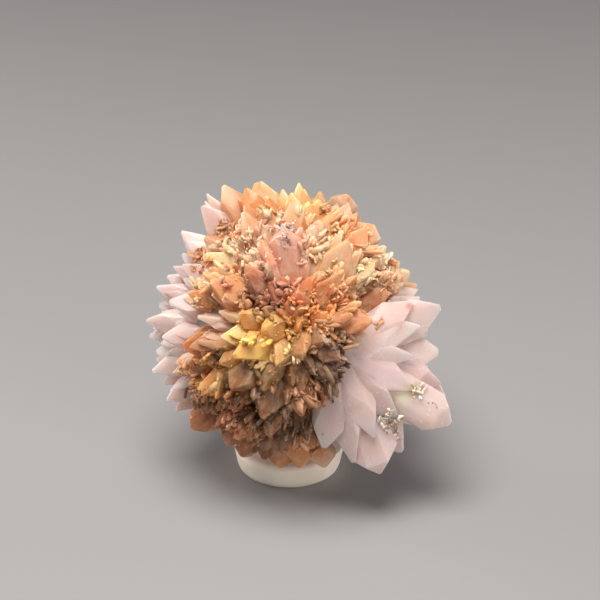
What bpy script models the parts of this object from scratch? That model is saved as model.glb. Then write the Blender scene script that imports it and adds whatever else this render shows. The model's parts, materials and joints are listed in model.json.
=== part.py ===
"""A ball of creedite crystals standing in a small pad of white mounting putty.

Run it with blender --background --python part.py, or from Blender's text editor. Sizes are in
metres and +Z is up. The origin is the middle of the putty's flat underside, and the specimen's
best face looks towards -Y, tipped up by VIEW_TILT.

The specimen grew as one piece: blades of creedite radiate from a common heart, so they are joined
in one closed solid. A direction on the ball is given the way a collector would point at it while
facing its best side: clock is the angle round the outline (0 to the right, 90 at the top), and
lean is how far the crystal comes forward from that outline towards the viewer.
"""

import math
import random
from collections import namedtuple

import bmesh
import bpy
from mathutils import Matrix, Vector

MM = 0.001

# Driving dimensions.
HEART = Vector((1.0, 0.0, 19.1)) * MM  # where the crystals radiate from
VIEW_TILT = math.radians(25.7)  # how far above the horizon the best face looks
CORE_RADIUS = 14.2 * MM  # the massive middle, under the free crystals
CORE_LUMP = 0.6 * MM  # how far the middle's lumps stand out
ROOT_RADIUS = 8.5 * MM  # where a crystal starts inside the middle
NOTCH_DEPTH = 2.3 * MM  # how much lower the ball is at its upper right shoulder
CLEFT = 43  # the clock angle of a cleft in that shoulder
CLEFT_SPREAD = 6  # how far it reaches to either side, in degrees
CLEFT_DEPTH = 1.2 * MM
SPRAY_DEPTH = 5.5 * MM  # how much lower the middle is under the right spray
SPINE_END = 11 * MM  # no crystal starts farther forward than this
BACK_LEAN = -24  # behind this, the crystals simply point away from the heart
PAD_RADIUS = 7.0 * MM  # the putty pad, at its widest
PAD_LONGER = 1.06  # how much longer it is from front to back than from side to side
PAD_FLARE = 0.3 * MM  # how much narrower it is at its foot
PAD_HEIGHT = 3.2 * MM
PAD_SOFT = 0.8 * MM  # the radius of its rounded edges
PAD_GAP = 0.3 * MM  # kept between the crystals and the putty

# How a crystal is cut.
ROOT_TAPER = 0.8  # its width at the root, as a share of its width at the tip
TIP_RIDGE = 0.1  # how far a tip face may miss the axis, as a share of the width
BROAD_STEEPER = 18  # how much steeper the tip faces on the broad sides are, in degrees
TIP_SPREAD = 7  # how far a tip face's slope may stray, in degrees
TURN_SPREAD = 0.3  # how far a tip face may turn round the axis, in radians
SHORTEST_EDGE = 0.02 * MM

# The front, right and up directions of the best face.
FORWARD = Vector((0, -math.cos(VIEW_TILT), math.sin(VIEW_TILT)))
RIGHT = Vector((1, 0, 0))
UP = Vector((0, math.sin(VIEW_TILT), math.cos(VIEW_TILT)))

# One named crystal: where its tip is (clock and lean in degrees, reach in mm from the heart), how
# wide and thick its prism is in mm, its roll about its own axis, and how steep its tip is.
Blade = namedtuple("Blade", "clock lean reach width thick roll steep")

# The lilac-white spray on the left, whose tips make the saw-toothed outline.
LEFT_SPRAY = [
    Blade(124, 2, 19.8, 3.2, 1.9, 10, 67),
    Blade(128, 6, 19.0, 3.8, 2.3, 0, 65),
    Blade(140, 3, 18.5, 4.6, 2.8, 15, 57),
    Blade(148, 0, 16.8, 3.2, 1.9, 0, 59),
    Blade(154, 4, 17.0, 3.0, 1.8, -10, 63),
    Blade(159, -2, 17.2, 3.0, 1.8, 20, 61),
    Blade(164, 3, 18.0, 3.2, 1.9, 0, 65),
    Blade(171, 0, 17.2, 3.0, 1.8, 12, 61),
    Blade(178, 4, 18.6, 3.6, 2.2, -8, 59),
    Blade(184, -4, 18.4, 3.2, 1.9, 5, 61),
    Blade(190, 3, 17.6, 3.2, 1.9, 0, 61),
    Blade(197, 2, 18.6, 4.2, 2.5, 10, 63),
    Blade(203, -3, 18.1, 3.2, 1.9, 0, 61),
    Blade(209, 2, 18.4, 3.6, 2.2, -12, 63),
    Blade(215, -2, 18.2, 3.0, 1.8, 8, 61),
    Blade(152, 22, 17.0, 3.6, 2.2, 0, 61),
    Blade(168, 24, 17.2, 3.6, 2.2, 20, 63),
    Blade(184, 22, 17.6, 3.8, 2.3, 0, 61),
    Blade(200, 24, 17.4, 3.6, 2.2, -15, 63),
]

# The tan to yellow crystals along the top.
CROWN = [
    Blade(117, 4, 19.7, 4.2, 2.7, 10, 65),
    Blade(110, 8, 18.3, 3.4, 2.2, 0, 57),
    Blade(105, 2, 18.5, 5.2, 3.4, -14, 57),
    Blade(96, 5, 17.1, 2.6, 1.7, 0, 63),
    Blade(89, 2, 17.8, 3.3, 2.1, 0, 69),
    Blade(80, 2, 16.2, 2.8, 1.8, 20, 53),
    Blade(74, 5, 16.5, 2.8, 1.8, 0, 53),
    Blade(69, 3, 17.5, 3.8, 2.5, 0, 38),
    Blade(61, 6, 15.9, 3.0, 2.0, 0, 55),
    Blade(53, 8, 15.9, 4.0, 2.9, 20, 34),
    Blade(42, 4, 13.2, 3.0, 2.5, 0, 36),
    Blade(33, 8, 15.1, 3.2, 2.1, 10, 44),
    Blade(26, 4, 15.5, 3.0, 2.0, 25, 53),
    Blade(17, 2, 15.6, 3.2, 2.1, 0, 55),
]

# The long pale blades on the right, which fan out from a heart of their own. They lie nearly flat
# in the picture plane, so each one's whole length shows.
RIGHT_HEART = HEART + 4.7 * MM * RIGHT - 2.8 * MM * UP
RIGHT_SPRAY = [
    Blade(8, 23, 19.0, 5.6, 3.0, 4, 62),
    Blade(-10, 20, 18.4, 4.8, 2.6, -6, 62),
    Blade(-21, 19, 19.6, 5.2, 2.8, 0, 60),
    Blade(-26, 14, 20.5, 4.8, 2.4, 8, 58),
    Blade(-32, 17, 22.9, 5.8, 2.8, 0, 54),
    Blade(-46, 16, 19.4, 5.2, 2.8, -8, 60),
    Blade(-50, 4, 20.1, 4.8, 2.4, 0, 57),
    Blade(-60, 19, 21.3, 6.8, 3.4, 0, 46),
    Blade(-67, 27, 19.7, 4.6, 2.6, 6, 67),
    Blade(-72, 9, 16.4, 4.2, 2.4, 0, 60),
    Blade(-77, 35, 17.9, 4.4, 2.6, 0, 60),
    Blade(14, 8, 15.6, 4.0, 2.4, 0, 60),
    Blade(-1, 12, 16.4, 5.2, 2.8, 0, 62),
    Blade(-38, 8, 19.2, 5.0, 2.6, 0, 62),
    Blade(-56, 6, 18.8, 5.0, 2.6, 0, 62),
    Blade(13, 35, 17.2, 4.2, 2.4, -6, 66),
    Blade(0, 33, 17.6, 4.4, 2.4, 8, 66),
    Blade(-14, 33, 17.4, 4.6, 2.4, 0, 66),
    Blade(-28, 31, 18.2, 4.6, 2.6, -8, 66),
    Blade(-42, 30, 18.6, 4.8, 2.6, 6, 66),
    Blade(-55, 33, 19.0, 4.4, 2.4, -6, 66),
    Blade(0, -18, 17.0, 5.4, 3.0, 0, 59),
    Blade(-18, -18, 18.2, 5.6, 3.0, 0, 59),
    Blade(-36, -18, 19.0, 5.6, 3.0, 0, 57),
    Blade(-54, -18, 18.6, 5.6, 3.0, 0, 57),
]

# The brown crystals round the foot, just above the putty.
FOOT = [
    Blade(224, 8, 18.1, 3.4, 2.8, 0, 42),
    Blade(231, 14, 16.2, 3.0, 2.5, 20, 53),
    Blade(239, 8, 17.0, 3.4, 2.7, 0, 40),
    Blade(247, 6, 17.4, 3.2, 2.6, 10, 44),
    Blade(256, 14, 17.1, 3.4, 2.8, 0, 44),
    Blade(263, 6, 17.5, 3.6, 3.0, -10, 42),
    Blade(271, 8, 17.4, 4.6, 3.6, 0, 44),
    Blade(281, 8, 17.7, 4.0, 3.2, 15, 44),
    Blade(288, 22, 16.6, 3.4, 2.8, 0, 55),
]

# Larger single crystals in the rusty crust of the best face.
FACE = [
    Blade(97, 50, 18.6, 4.4, 3.2, 0, 48),
    Blade(59, 49, 18.2, 6.0, 4.0, 10, 56),
    Blade(52, 62, 17.4, 4.4, 3.0, 0, 62),
    Blade(55, 33, 17.4, 4.4, 3.0, 0, 52),
    Blade(152, 50, 17.8, 5.0, 3.2, 15, 58),
    Blade(128, 57, 17.6, 4.0, 2.8, 0, 62),
    Blade(203, 64, 18.0, 5.0, 3.2, 10, 60),
    Blade(180, 77, 17.4, 3.8, 2.6, 0, 60),
    Blade(90, 76, 17.5, 4.0, 2.6, 20, 60),
    Blade(20, 76, 17.4, 3.8, 2.6, 0, 60),
    Blade(240, 74, 17.4, 4.0, 2.6, 0, 60),
    Blade(285, 80, 17.6, 4.0, 2.8, 30, 58),
    Blade(325, 70, 17.8, 4.0, 2.8, 20, 50),
    Blade(308, 64, 17.5, 3.6, 2.6, 0, 56),
    Blade(6, 60, 17.4, 4.6, 2.8, 0, 58),
    Blade(222, 54, 17.8, 4.0, 2.8, 20, 50),
    Blade(212, 38, 17.6, 2.4, 1.8, 0, 69),
    Blade(250, 50, 17.7, 4.2, 2.8, 0, 58),
    Blade(274, 55, 18.0, 4.4, 2.8, 0, 62),
    Blade(262, 32, 17.6, 4.2, 3.0, 15, 58),
    Blade(242, 28, 17.3, 3.8, 2.8, 0, 58),
    Blade(277, 34, 17.5, 3.8, 2.8, 0, 62),
    Blade(141, 38, 17.7, 4.4, 2.8, 0, 58),
    Blade(115, 32, 18.0, 4.4, 3.0, 0, 62),
    Blade(92, 28, 17.6, 4.0, 2.8, 0, 62),
    Blade(70, 27, 17.2, 4.0, 2.8, 0, 58),
    Blade(28, 38, 16.0, 4.2, 3.0, 0, 54),
    Blade(37, 23, 15.6, 5.2, 4.2, 0, 36),
]

# The smaller crystals that fill the ball between the named ones: the width and the reach of each
# are drawn between a least and a most, in mm, its axis leans off its straight way by up to tilt,
# and its thickness is a share of its width. Its tip keeps clear of the nearest other tip by a
# share of its width.
Filling = namedtuple("Filling", "thin wide short long steep tilt clear flat")
CRUST_FILLING = Filling(2.6, 4.0, 15.9, 17.5, 58, 16, 0.82, 0.62)
RIGHT_FILLING = Filling(4.0, 5.4, 14.8, 16.2, 58, 6, 0.8, 0.5)
LEFT_FILLING = Filling(4.0, 5.2, 16.0, 17.4, 62, 6, 0.88, 0.6)
FILL_SEED = 41
FILL_TRIED = 1500  # directions tried, spread evenly round the whole ball
SPRAY_CLOSED = 4  # in front of this lean the named blades close the right spray by themselves

# How far forward along the spine a crystal starts, as a share of how far forward its tip is. The
# spine is a line through the heart along FORWARD.
SPINE_SHARE = {"left": 1.1, "right": 1.5, "crown": 0.8, "crust": 0.7}

CRUST_LEAN = 38  # the lean at which the crust starts, but for the left side of the ball
# The clock angles down that side, each with the lean at which the crust starts there.
CRUST_EDGE = [
    (118, 22),
    (132, 27),
    (146, 32),
    (166, 33),
    (176, 44),
    (186, 48),
    (196, 43),
    (204, 31),
    (222, 8),
]

LILAC = (0.80, 0.70, 0.74, 1.0)
PUTTY = (0.80, 0.78, 0.74, 1.0)


def clear_scene():
    for obj in list(bpy.data.objects):
        bpy.data.objects.remove(obj, do_unlink=True)


def finish(name, colour, roughness):
    """A plain Principled material."""
    made = bpy.data.materials.new(name)
    made.use_nodes = True
    surface = made.node_tree.nodes["Principled BSDF"]
    surface.inputs["Base Color"].default_value = colour
    surface.inputs["Roughness"].default_value = roughness
    surface.inputs["Metallic"].default_value = 0.0
    return made


def new_object(name, bm):
    """The bmesh as an object in the scene."""
    mesh = bpy.data.meshes.new(name)
    bm.to_mesh(mesh)
    bm.free()
    obj = bpy.data.objects.new(name, mesh)
    bpy.context.scene.collection.objects.link(obj)
    return obj


def heading(clock, lean):
    """The unit vector for a clock angle and a lean, both in degrees."""
    round_outline = math.cos(math.radians(clock)) * RIGHT + math.sin(math.radians(clock)) * UP
    lean = math.radians(lean)
    return math.cos(lean) * round_outline + math.sin(lean) * FORWARD


def clock_and_lean(direction):
    """The reverse of heading."""
    clock = math.degrees(math.atan2(direction.dot(UP), direction.dot(RIGHT))) % 360
    lean = math.degrees(math.asin(max(-1.0, min(1.0, direction.dot(FORWARD)))))
    return clock, lean


def cut_flat(bm, point, normal):
    """Cuts away what is past a plane and closes the cut with one flat face."""
    cut = bmesh.ops.bisect_plane(
        bm,
        geom=bm.verts[:] + bm.edges[:] + bm.faces[:],
        dist=1e-7,
        plane_co=point,
        plane_no=normal,
        clear_outer=True,
    )
    rim = [e for e in cut["geom_cut"] if isinstance(e, bmesh.types.BMEdge) and e.is_boundary]
    if rim:
        bmesh.ops.contextual_create(bm, geom=rim)


def buried_length(tip, axis):
    """How long a crystal is, from its tip back to its root inside the middle."""
    out = tip - HEART
    along = out.dot(axis)
    beside = out.length_squared - along * along
    return along - math.sqrt(max(0.0, ROOT_RADIUS**2 - beside))


def turned_to(axis, roll):
    """The turn that points a crystal along its axis, with its broad side to the viewer at roll 0."""
    across = axis.cross(FORWARD) + 0.001 * RIGHT
    across = (across - axis * across.dot(axis)).normalized()
    aimed = Matrix((across, axis.cross(across), axis)).transposed()
    return aimed @ Matrix.Rotation(math.radians(roll), 3, "Z")


def crystal(tip, axis, blade, sides, chance):
    """One creedite crystal: a flattened prism, narrower at its root, whose tip is cut by sloping
    faces that meet near the axis, one fewer than the prism has sides and four at most."""
    width, thick = blade.width * MM, blade.thick * MM
    length = buried_length(tip, axis)
    bm = bmesh.new()
    bmesh.ops.create_circle(bm, cap_ends=True, segments=sides, radius=0.5)
    bmesh.ops.rotate(bm, verts=bm.verts, matrix=Matrix.Rotation(math.pi / sides, 3, "Z"))
    bmesh.ops.scale(bm, verts=bm.verts, vec=(ROOT_TAPER * width, ROOT_TAPER * thick, 1))
    shaft = bmesh.ops.extrude_face_region(bm, geom=bm.faces[:])
    end = [v for v in shaft["geom"] if isinstance(v, bmesh.types.BMVert)]
    bmesh.ops.scale(bm, verts=end, vec=(1 / ROOT_TAPER, 1 / ROOT_TAPER, 1))
    bmesh.ops.translate(bm, verts=end, vec=(0, 0, length))
    facets = min(4, sides - 1)
    for facet in range(facets):
        broad = BROAD_STEEPER if facet % 2 else 0
        slope = math.radians(min(80, blade.steep + broad + chance.uniform(-TIP_SPREAD, TIP_SPREAD)))
        turn = 2 * math.pi / facets * facet + chance.uniform(-TURN_SPREAD, TURN_SPREAD)
        outward = Vector((math.cos(turn), math.sin(turn), 0))
        foot = Vector((0, 0, length)) + outward * chance.uniform(0, TIP_RIDGE) * width
        cut_flat(bm, foot, outward * math.sin(slope) + Vector((0, 0, math.cos(slope))))
    bmesh.ops.remove_doubles(bm, verts=bm.verts, dist=SHORTEST_EDGE)
    bmesh.ops.recalc_face_normals(bm, faces=bm.faces)
    to_tip = Matrix.Translation((0, 0, -max(v.co.z for v in bm.verts)))
    turned = turned_to(axis, blade.roll).to_4x4()
    bmesh.ops.transform(bm, verts=bm.verts, matrix=Matrix.Translation(tip) @ turned @ to_tip)
    return bm


def crust_edge(clock):
    """The lean at which the crust starts, drawn straight between the angles of CRUST_EDGE."""
    if not CRUST_EDGE[0][0] <= clock <= CRUST_EDGE[-1][0]:
        return CRUST_LEAN
    for (low, start), (high, end) in zip(CRUST_EDGE, CRUST_EDGE[1:]):
        if clock <= high:
            return start + (end - start) * (clock - low) / (high - low)


def spray_edge(clock, lean):
    """How many degrees a direction is inside the pale spray on the right, negative outside it."""
    signed = clock - 360 if clock > 180 else clock
    upper = 16 + 0.45 * max(0, lean - 36)
    forward = 60 if signed > -56 else 60 - 0.5 * (-56 - signed)
    return min(signed + 79, upper - signed, forward - lean)


def in_right_spray(clock, lean):
    """Whether a direction belongs to the pale blades on the right."""
    return spray_edge(clock, lean) > 0


def in_crust(clock, lean):
    """Whether a direction belongs to the rusty crust: the best face, the crown and the foot."""
    crown = 20 < clock < 120 and lean > -22
    foot = 222 < clock < 281 and lean > -12
    return (lean > crust_edge(clock) or crown or foot) and not in_right_spray(clock, lean)


def in_notch(clock, lean):
    """Whether a direction is on the low shoulder at the ball's upper right."""
    return 12 < clock < 62 and abs(lean) < 28


def habit(clock, lean):
    """Which part of the ball a direction is in."""
    if in_right_spray(clock, lean):
        return "right"
    if in_crust(clock, lean):
        return "crust" if lean > 14 else "crown"
    return "left"


def filling_at(clock, lean):
    if in_crust(clock, lean):
        return CRUST_FILLING
    return RIGHT_FILLING if in_right_spray(clock, lean) else LEFT_FILLING


def filling(taken):
    """The blades that fill the ball between the directions already taken, each with its axis."""
    chance = random.Random(FILL_SEED)
    golden = math.pi * (3 - math.sqrt(5))
    order = list(range(FILL_TRIED))
    chance.shuffle(order)
    found = []
    for i in order:
        z = 1 - 2 * (i + 0.5) / FILL_TRIED
        flat = math.sqrt(1 - z * z)
        direction = Vector((flat * math.cos(golden * i), flat * math.sin(golden * i), z))
        clock, lean = clock_and_lean(direction)
        kind = filling_at(clock, lean)
        width = chance.uniform(kind.thin, kind.wide)
        reach = chance.uniform(kind.short, kind.long)
        roll = chance.uniform(-1, 1) * (90 if kind is CRUST_FILLING else 20)
        tilt = Vector([chance.uniform(-1, 1) for _ in range(3)]) * math.tan(math.radians(kind.tilt))
        if in_notch(clock, lean):
            reach -= (NOTCH_DEPTH + (CLEFT_DEPTH if abs(clock - CLEFT) < CLEFT_SPREAD else 0)) / MM
        if in_right_spray(clock, lean) and lean > SPRAY_CLOSED:
            continue
        if any((direction - other).length * reach < kind.clear * width for other in taken):
            continue
        taken.append(direction)
        blade = Blade(clock, lean, reach, width, kind.flat * width, roll, kind.steep)
        found.append((blade, (direction + tilt / math.sqrt(3)).normalized()))
    return found


def core():
    """The massive middle: a ball with low lumps."""
    chance = random.Random(FILL_SEED)
    bm = bmesh.new()
    bmesh.ops.create_icosphere(bm, subdivisions=3, radius=CORE_RADIUS)
    for v in bm.verts:
        out = v.co.normalized()
        place = clock_and_lean(out)
        low = NOTCH_DEPTH if in_notch(*place) else 0
        if in_right_spray(*place) and place[1] > SPRAY_CLOSED:
            low = SPRAY_DEPTH
        v.co += out * (chance.uniform(-CORE_LUMP, CORE_LUMP) - low)
    bmesh.ops.translate(bm, verts=bm.verts, vec=HEART)
    return bm


def pad_outline(grow):
    """The putty pad's half outline from the axis, bottom to top, grown by a gap."""
    low = (PAD_RADIUS - PAD_FLARE - PAD_SOFT, PAD_SOFT)
    high = (PAD_RADIUS - PAD_SOFT, PAD_HEIGHT - PAD_SOFT)
    points = [(0.0, -grow)]
    for (x, z), start in ((low, -90), (high, 0)):
        for turn in (0, 30, 60, 90):
            turn = math.radians(start + turn)
            round_edge = PAD_SOFT + grow
            points.append((x + round_edge * math.cos(turn), z + round_edge * math.sin(turn)))
    points.append((0.0, PAD_HEIGHT + grow))
    return points


def pad_shape(grow, steps):
    """The pad's outline spun round Z into a closed solid, then drawn out a little along Y."""
    outline = pad_outline(grow)
    bm = bmesh.new()
    verts = [bm.verts.new((x, 0, z)) for x, z in outline]
    edges = [bm.edges.new(pair) for pair in zip(verts, verts[1:])]
    bmesh.ops.spin(
        bm,
        geom=verts + edges,
        cent=(0, 0, 0),
        axis=(0, 0, 1),
        angle=2 * math.pi,
        steps=steps,
        use_merge=True,
    )
    bmesh.ops.remove_doubles(bm, verts=bm.verts, dist=1e-6)
    bmesh.ops.recalc_face_normals(bm, faces=bm.faces)
    bmesh.ops.scale(bm, verts=bm.verts, vec=(1, PAD_LONGER, 1))
    return bm


def growing_way(tip, where):
    """The axis of a crystal that starts from the spine."""
    start = RIGHT_HEART if where == "right" else HEART
    forward = min(SPINE_END, (tip - HEART).dot(FORWARD) * SPINE_SHARE[where])
    return (tip - start - FORWARD * forward).normalized()


def grow_crystals(collection):
    """Every crystal of the ball, each a closed mesh in the collection."""
    chance = random.Random(FILL_SEED + 1)
    grown = []
    for group in (LEFT_SPRAY, CROWN, FOOT, FACE, RIGHT_SPRAY):
        for blade in group:
            tip = HEART + heading(blade.clock, blade.lean) * blade.reach * MM
            where = "right" if group is RIGHT_SPRAY else habit(blade.clock % 360, blade.lean)
            grown.append((tip, growing_way(tip, where), blade, 6))
    taken = [(tip - HEART).normalized() for tip, axis, blade, sides in grown]
    for blade, tilted in filling(taken):
        tip = HEART + heading(blade.clock, blade.lean) * blade.reach * MM
        axis = tilted
        if blade.lean > BACK_LEAN:
            straight = growing_way(tip, habit(blade.clock, blade.lean))
            axis = (straight + tilted - (tip - HEART).normalized()).normalized()
        grown.append((tip, axis, blade, 4))
    for tip, axis, blade, sides in grown:
        obj = new_object("crystal", crystal(tip, axis, blade, sides, chance))
        bpy.context.scene.collection.objects.unlink(obj)
        collection.objects.link(obj)


def build_cluster():
    """All the crystals and the middle joined in one solid, hollowed where the putty grips it."""
    body = new_object("creedite_cluster", core())
    body.data.materials.append(finish("lilac_creedite", LILAC, 0.25))
    crystals = bpy.data.collections.new("crystals")
    bpy.context.scene.collection.children.link(crystals)
    grow_crystals(crystals)
    join = body.modifiers.new("join", "BOOLEAN")
    join.operation = "UNION"
    join.solver = "EXACT"
    join.operand_type = "COLLECTION"
    join.collection = crystals
    grip = new_object("grip", pad_shape(PAD_GAP, 28))
    grip.hide_render = True
    grip.display_type = "WIRE"
    hollow = body.modifiers.new("grip", "BOOLEAN")
    hollow.operation = "DIFFERENCE"
    hollow.solver = "EXACT"
    hollow.object = grip
    return body, crystals, grip


def fill_sealed_gaps(mesh):
    """Drops every skin but the outer one, so that no gap is shut in between the crystals."""
    bm = bmesh.new()
    bm.from_mesh(mesh)
    unseen = set(bm.verts)
    skins = []
    while unseen:
        skin = [unseen.pop()]
        for v in skin:
            beside = {e.other_vert(v) for e in v.link_edges} & unseen
            unseen -= beside
            skin.extend(beside)
        skins.append(skin)
    skins.sort(key=len)
    inner = [v for skin in skins[:-1] for v in skin]
    bmesh.ops.delete(bm, geom=inner, context="VERTS")
    bm.to_mesh(mesh)
    bm.free()


def bake(body, crystals, grip):
    """Keeps the joined solid as a plain mesh and drops the shapes that made it."""
    graph = bpy.context.evaluated_depsgraph_get()
    joined = bpy.data.meshes.new_from_object(body.evaluated_get(graph))
    fill_sealed_gaps(joined)
    body.modifiers.clear()
    body.data = joined
    for obj in list(crystals.objects) + [grip]:
        bpy.data.objects.remove(obj, do_unlink=True)
    bpy.data.collections.remove(crystals)


def build_pad():
    pad = new_object("putty_pad", pad_shape(0.0, 28))
    pad.data.materials.append(finish("white_putty", PUTTY, 0.6))
    pad.data.shade_smooth()
    return pad


clear_scene()
bake(*build_cluster())
build_pad()
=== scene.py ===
# %% [markdown]
# A ball of creedite crystals, standing in a small pad of white mounting putty.
#
# Creedite grows as sprays of flat, pointed blades that all start from one heart. On this specimen
# the two flanks are clean and milky lilac, and the best face is crusted with smaller crystals that
# iron has stained yellow, orange and brown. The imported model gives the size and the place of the
# ball and of the putty. This lesson grows the same crystals again with soft edges, adds the
# younger crystals that cover them, and stains them.

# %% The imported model
import json
import math
import random
from collections import namedtuple

import bmesh
import bpy
import numpy as np
from mathutils import Matrix, Vector
from mathutils.noise import noise

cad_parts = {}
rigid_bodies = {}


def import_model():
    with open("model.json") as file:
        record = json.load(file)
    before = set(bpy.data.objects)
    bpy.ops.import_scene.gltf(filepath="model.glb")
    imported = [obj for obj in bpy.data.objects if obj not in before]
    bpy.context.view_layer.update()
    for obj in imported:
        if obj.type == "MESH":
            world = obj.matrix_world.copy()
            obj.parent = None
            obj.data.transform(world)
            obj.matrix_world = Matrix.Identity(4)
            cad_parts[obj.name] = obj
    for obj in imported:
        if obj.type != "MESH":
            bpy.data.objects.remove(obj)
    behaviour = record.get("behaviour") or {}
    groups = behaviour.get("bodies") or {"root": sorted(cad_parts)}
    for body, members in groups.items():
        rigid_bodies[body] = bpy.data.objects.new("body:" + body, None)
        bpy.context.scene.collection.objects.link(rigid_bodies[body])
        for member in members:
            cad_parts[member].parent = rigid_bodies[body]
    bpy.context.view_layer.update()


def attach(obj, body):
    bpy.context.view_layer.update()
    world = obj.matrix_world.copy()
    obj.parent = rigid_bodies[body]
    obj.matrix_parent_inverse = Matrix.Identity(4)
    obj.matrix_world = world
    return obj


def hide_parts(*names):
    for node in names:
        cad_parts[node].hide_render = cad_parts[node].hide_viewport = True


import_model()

MM = 0.001

# %% [markdown]
# Directions on the ball are given as a collector would point at it while facing its best side.
# The clock angle goes round the outline, 0 to the right and 90 at the top. The lean says how far
# the crystal comes forward from that outline towards the viewer. The best face looks up a little,
# so the three axes below are the world's own, tipped by the viewing angle.

# %% Directions on the ball
HEART = Vector((1.0, 0.0, 19.1)) * MM
VIEW_TILT = math.radians(25.7)
FORWARD = Vector((0, -math.cos(VIEW_TILT), math.sin(VIEW_TILT)))
RIGHT = Vector((1, 0, 0))
UP = Vector((0, math.sin(VIEW_TILT), math.cos(VIEW_TILT)))


def heading(clock, lean):
    """The unit vector for a clock angle and a lean, both in degrees."""
    round_outline = math.cos(math.radians(clock)) * RIGHT + math.sin(math.radians(clock)) * UP
    lean = math.radians(lean)
    return math.cos(lean) * round_outline + math.sin(lean) * FORWARD


def clock_and_lean(direction):
    """The reverse of heading."""
    clock = math.degrees(math.atan2(direction.dot(UP), direction.dot(RIGHT))) % 360
    lean = math.degrees(math.asin(max(-1.0, min(1.0, direction.dot(FORWARD)))))
    return clock, lean


print("the best face looks along", [round(c, 2) for c in FORWARD])

# %% [markdown]
# The camera stands where the photographer stood: straight in front of the best face, looking down
# at it by the viewing angle. A long lens from about 30 cm keeps the ball's outline true.

# %% The camera
CAMERA_DISTANCE = 292 * MM
CAMERA_LENS = 141.9  # in mm, on the usual 36 mm sensor
AIM = HEART + 0.37 * MM * RIGHT + 3.33 * MM * UP


def place_camera():
    lens = bpy.data.cameras.new("camera")
    lens.lens = CAMERA_LENS
    lens.sensor_width = 36
    lens.clip_start = 0.01
    camera = bpy.data.objects.new("camera", lens)
    turned = Matrix((RIGHT, UP, FORWARD)).transposed().to_4x4()
    camera.matrix_world = Matrix.Translation(AIM + CAMERA_DISTANCE * FORWARD) @ turned
    bpy.context.scene.collection.objects.link(camera)
    bpy.context.scene.camera = camera


place_camera()
print("the camera stands", round(CAMERA_DISTANCE / MM), "mm from the ball")

# %% [markdown]
# A milky crystal shows its depth only when light comes through it. So besides one large soft light
# above the front, two softer ones stand behind the ball, left and right, and shine through the
# tips. The floor is plain and pale, a little darker than the crystals, so that their outline reads.

# %% The studio
Lamp = namedtuple("Lamp", "name clock lean distance size power colour")
LAMPS = [
    Lamp("key", 98, 40, 0.26, 0.18, 1.05, (1.0, 0.94, 0.89)),
    Lamp("left_glow", 165, -20, 0.26, 0.14, 0.55, (1.0, 0.93, 0.92)),
    Lamp("right_glow", 12, -16, 0.26, 0.14, 0.25, (1.0, 0.93, 0.92)),
    Lamp("front_fill", 345, 50, 0.32, 0.22, 0.4, (1.0, 0.93, 0.89)),
    Lamp("low_glow", 290, 30, 0.30, 0.2, 0.28, (1.0, 0.88, 0.86)),
]
WORLD_GREY = (0.80, 0.80, 0.82, 1.0)
WORLD_STRENGTH = 0.25
FLOOR_COLOUR = (0.30, 0.30, 0.30, 1.0)
FLOOR_SIZE = 3.0


def light_studio():
    for lamp in LAMPS:
        data = bpy.data.lights.new(lamp.name, "AREA")
        data.shape = "DISK"
        data.size = lamp.size
        data.energy = lamp.power
        data.color = lamp.colour
        obj = bpy.data.objects.new(lamp.name, data)
        towards = heading(lamp.clock, lamp.lean)
        aimed = towards.to_track_quat("Z", "Y").to_matrix().to_4x4()
        obj.matrix_world = Matrix.Translation(HEART + towards * lamp.distance) @ aimed
        bpy.context.scene.collection.objects.link(obj)
    world = bpy.data.worlds.new("studio")
    world.use_nodes = True
    bpy.context.scene.view_settings.view_transform = "Standard"
    backdrop = world.node_tree.nodes["Background"]
    backdrop.inputs["Color"].default_value = WORLD_GREY
    backdrop.inputs["Strength"].default_value = WORLD_STRENGTH
    bpy.context.scene.world = world


def new_object(name, bm):
    """The bmesh as an object in the scene."""
    mesh = bpy.data.meshes.new(name)
    bm.to_mesh(mesh)
    bm.free()
    obj = bpy.data.objects.new(name, mesh)
    bpy.context.scene.collection.objects.link(obj)
    return obj


def lay_floor():
    bm = bmesh.new()
    bmesh.ops.create_grid(bm, x_segments=1, y_segments=1, size=FLOOR_SIZE / 2)
    floor = new_object("floor", bm)
    pale = bpy.data.materials.new("pale_floor")
    pale.use_nodes = True
    surface = pale.node_tree.nodes["Principled BSDF"]
    surface.inputs["Base Color"].default_value = FLOOR_COLOUR
    surface.inputs["Roughness"].default_value = 0.7
    floor.data.materials.append(pale)


light_studio()
lay_floor()
print(len(LAMPS), "lamps light the ball")

# %% [markdown]
# The large crystals are the ones a collector would name: the saw teeth of the left outline, the
# yellow pyramids along the top, the broad pale blades on the right, the brown ones round the foot,
# and the big ones in the rusty face. Each is one line: where its tip points, how far it reaches,
# how wide and thick it is, its roll about its own axis and how steep its tip is. They are the
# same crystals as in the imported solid, so both have one outline.

# %% The named crystals
Blade = namedtuple("Blade", "clock lean reach width thick roll steep")

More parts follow.
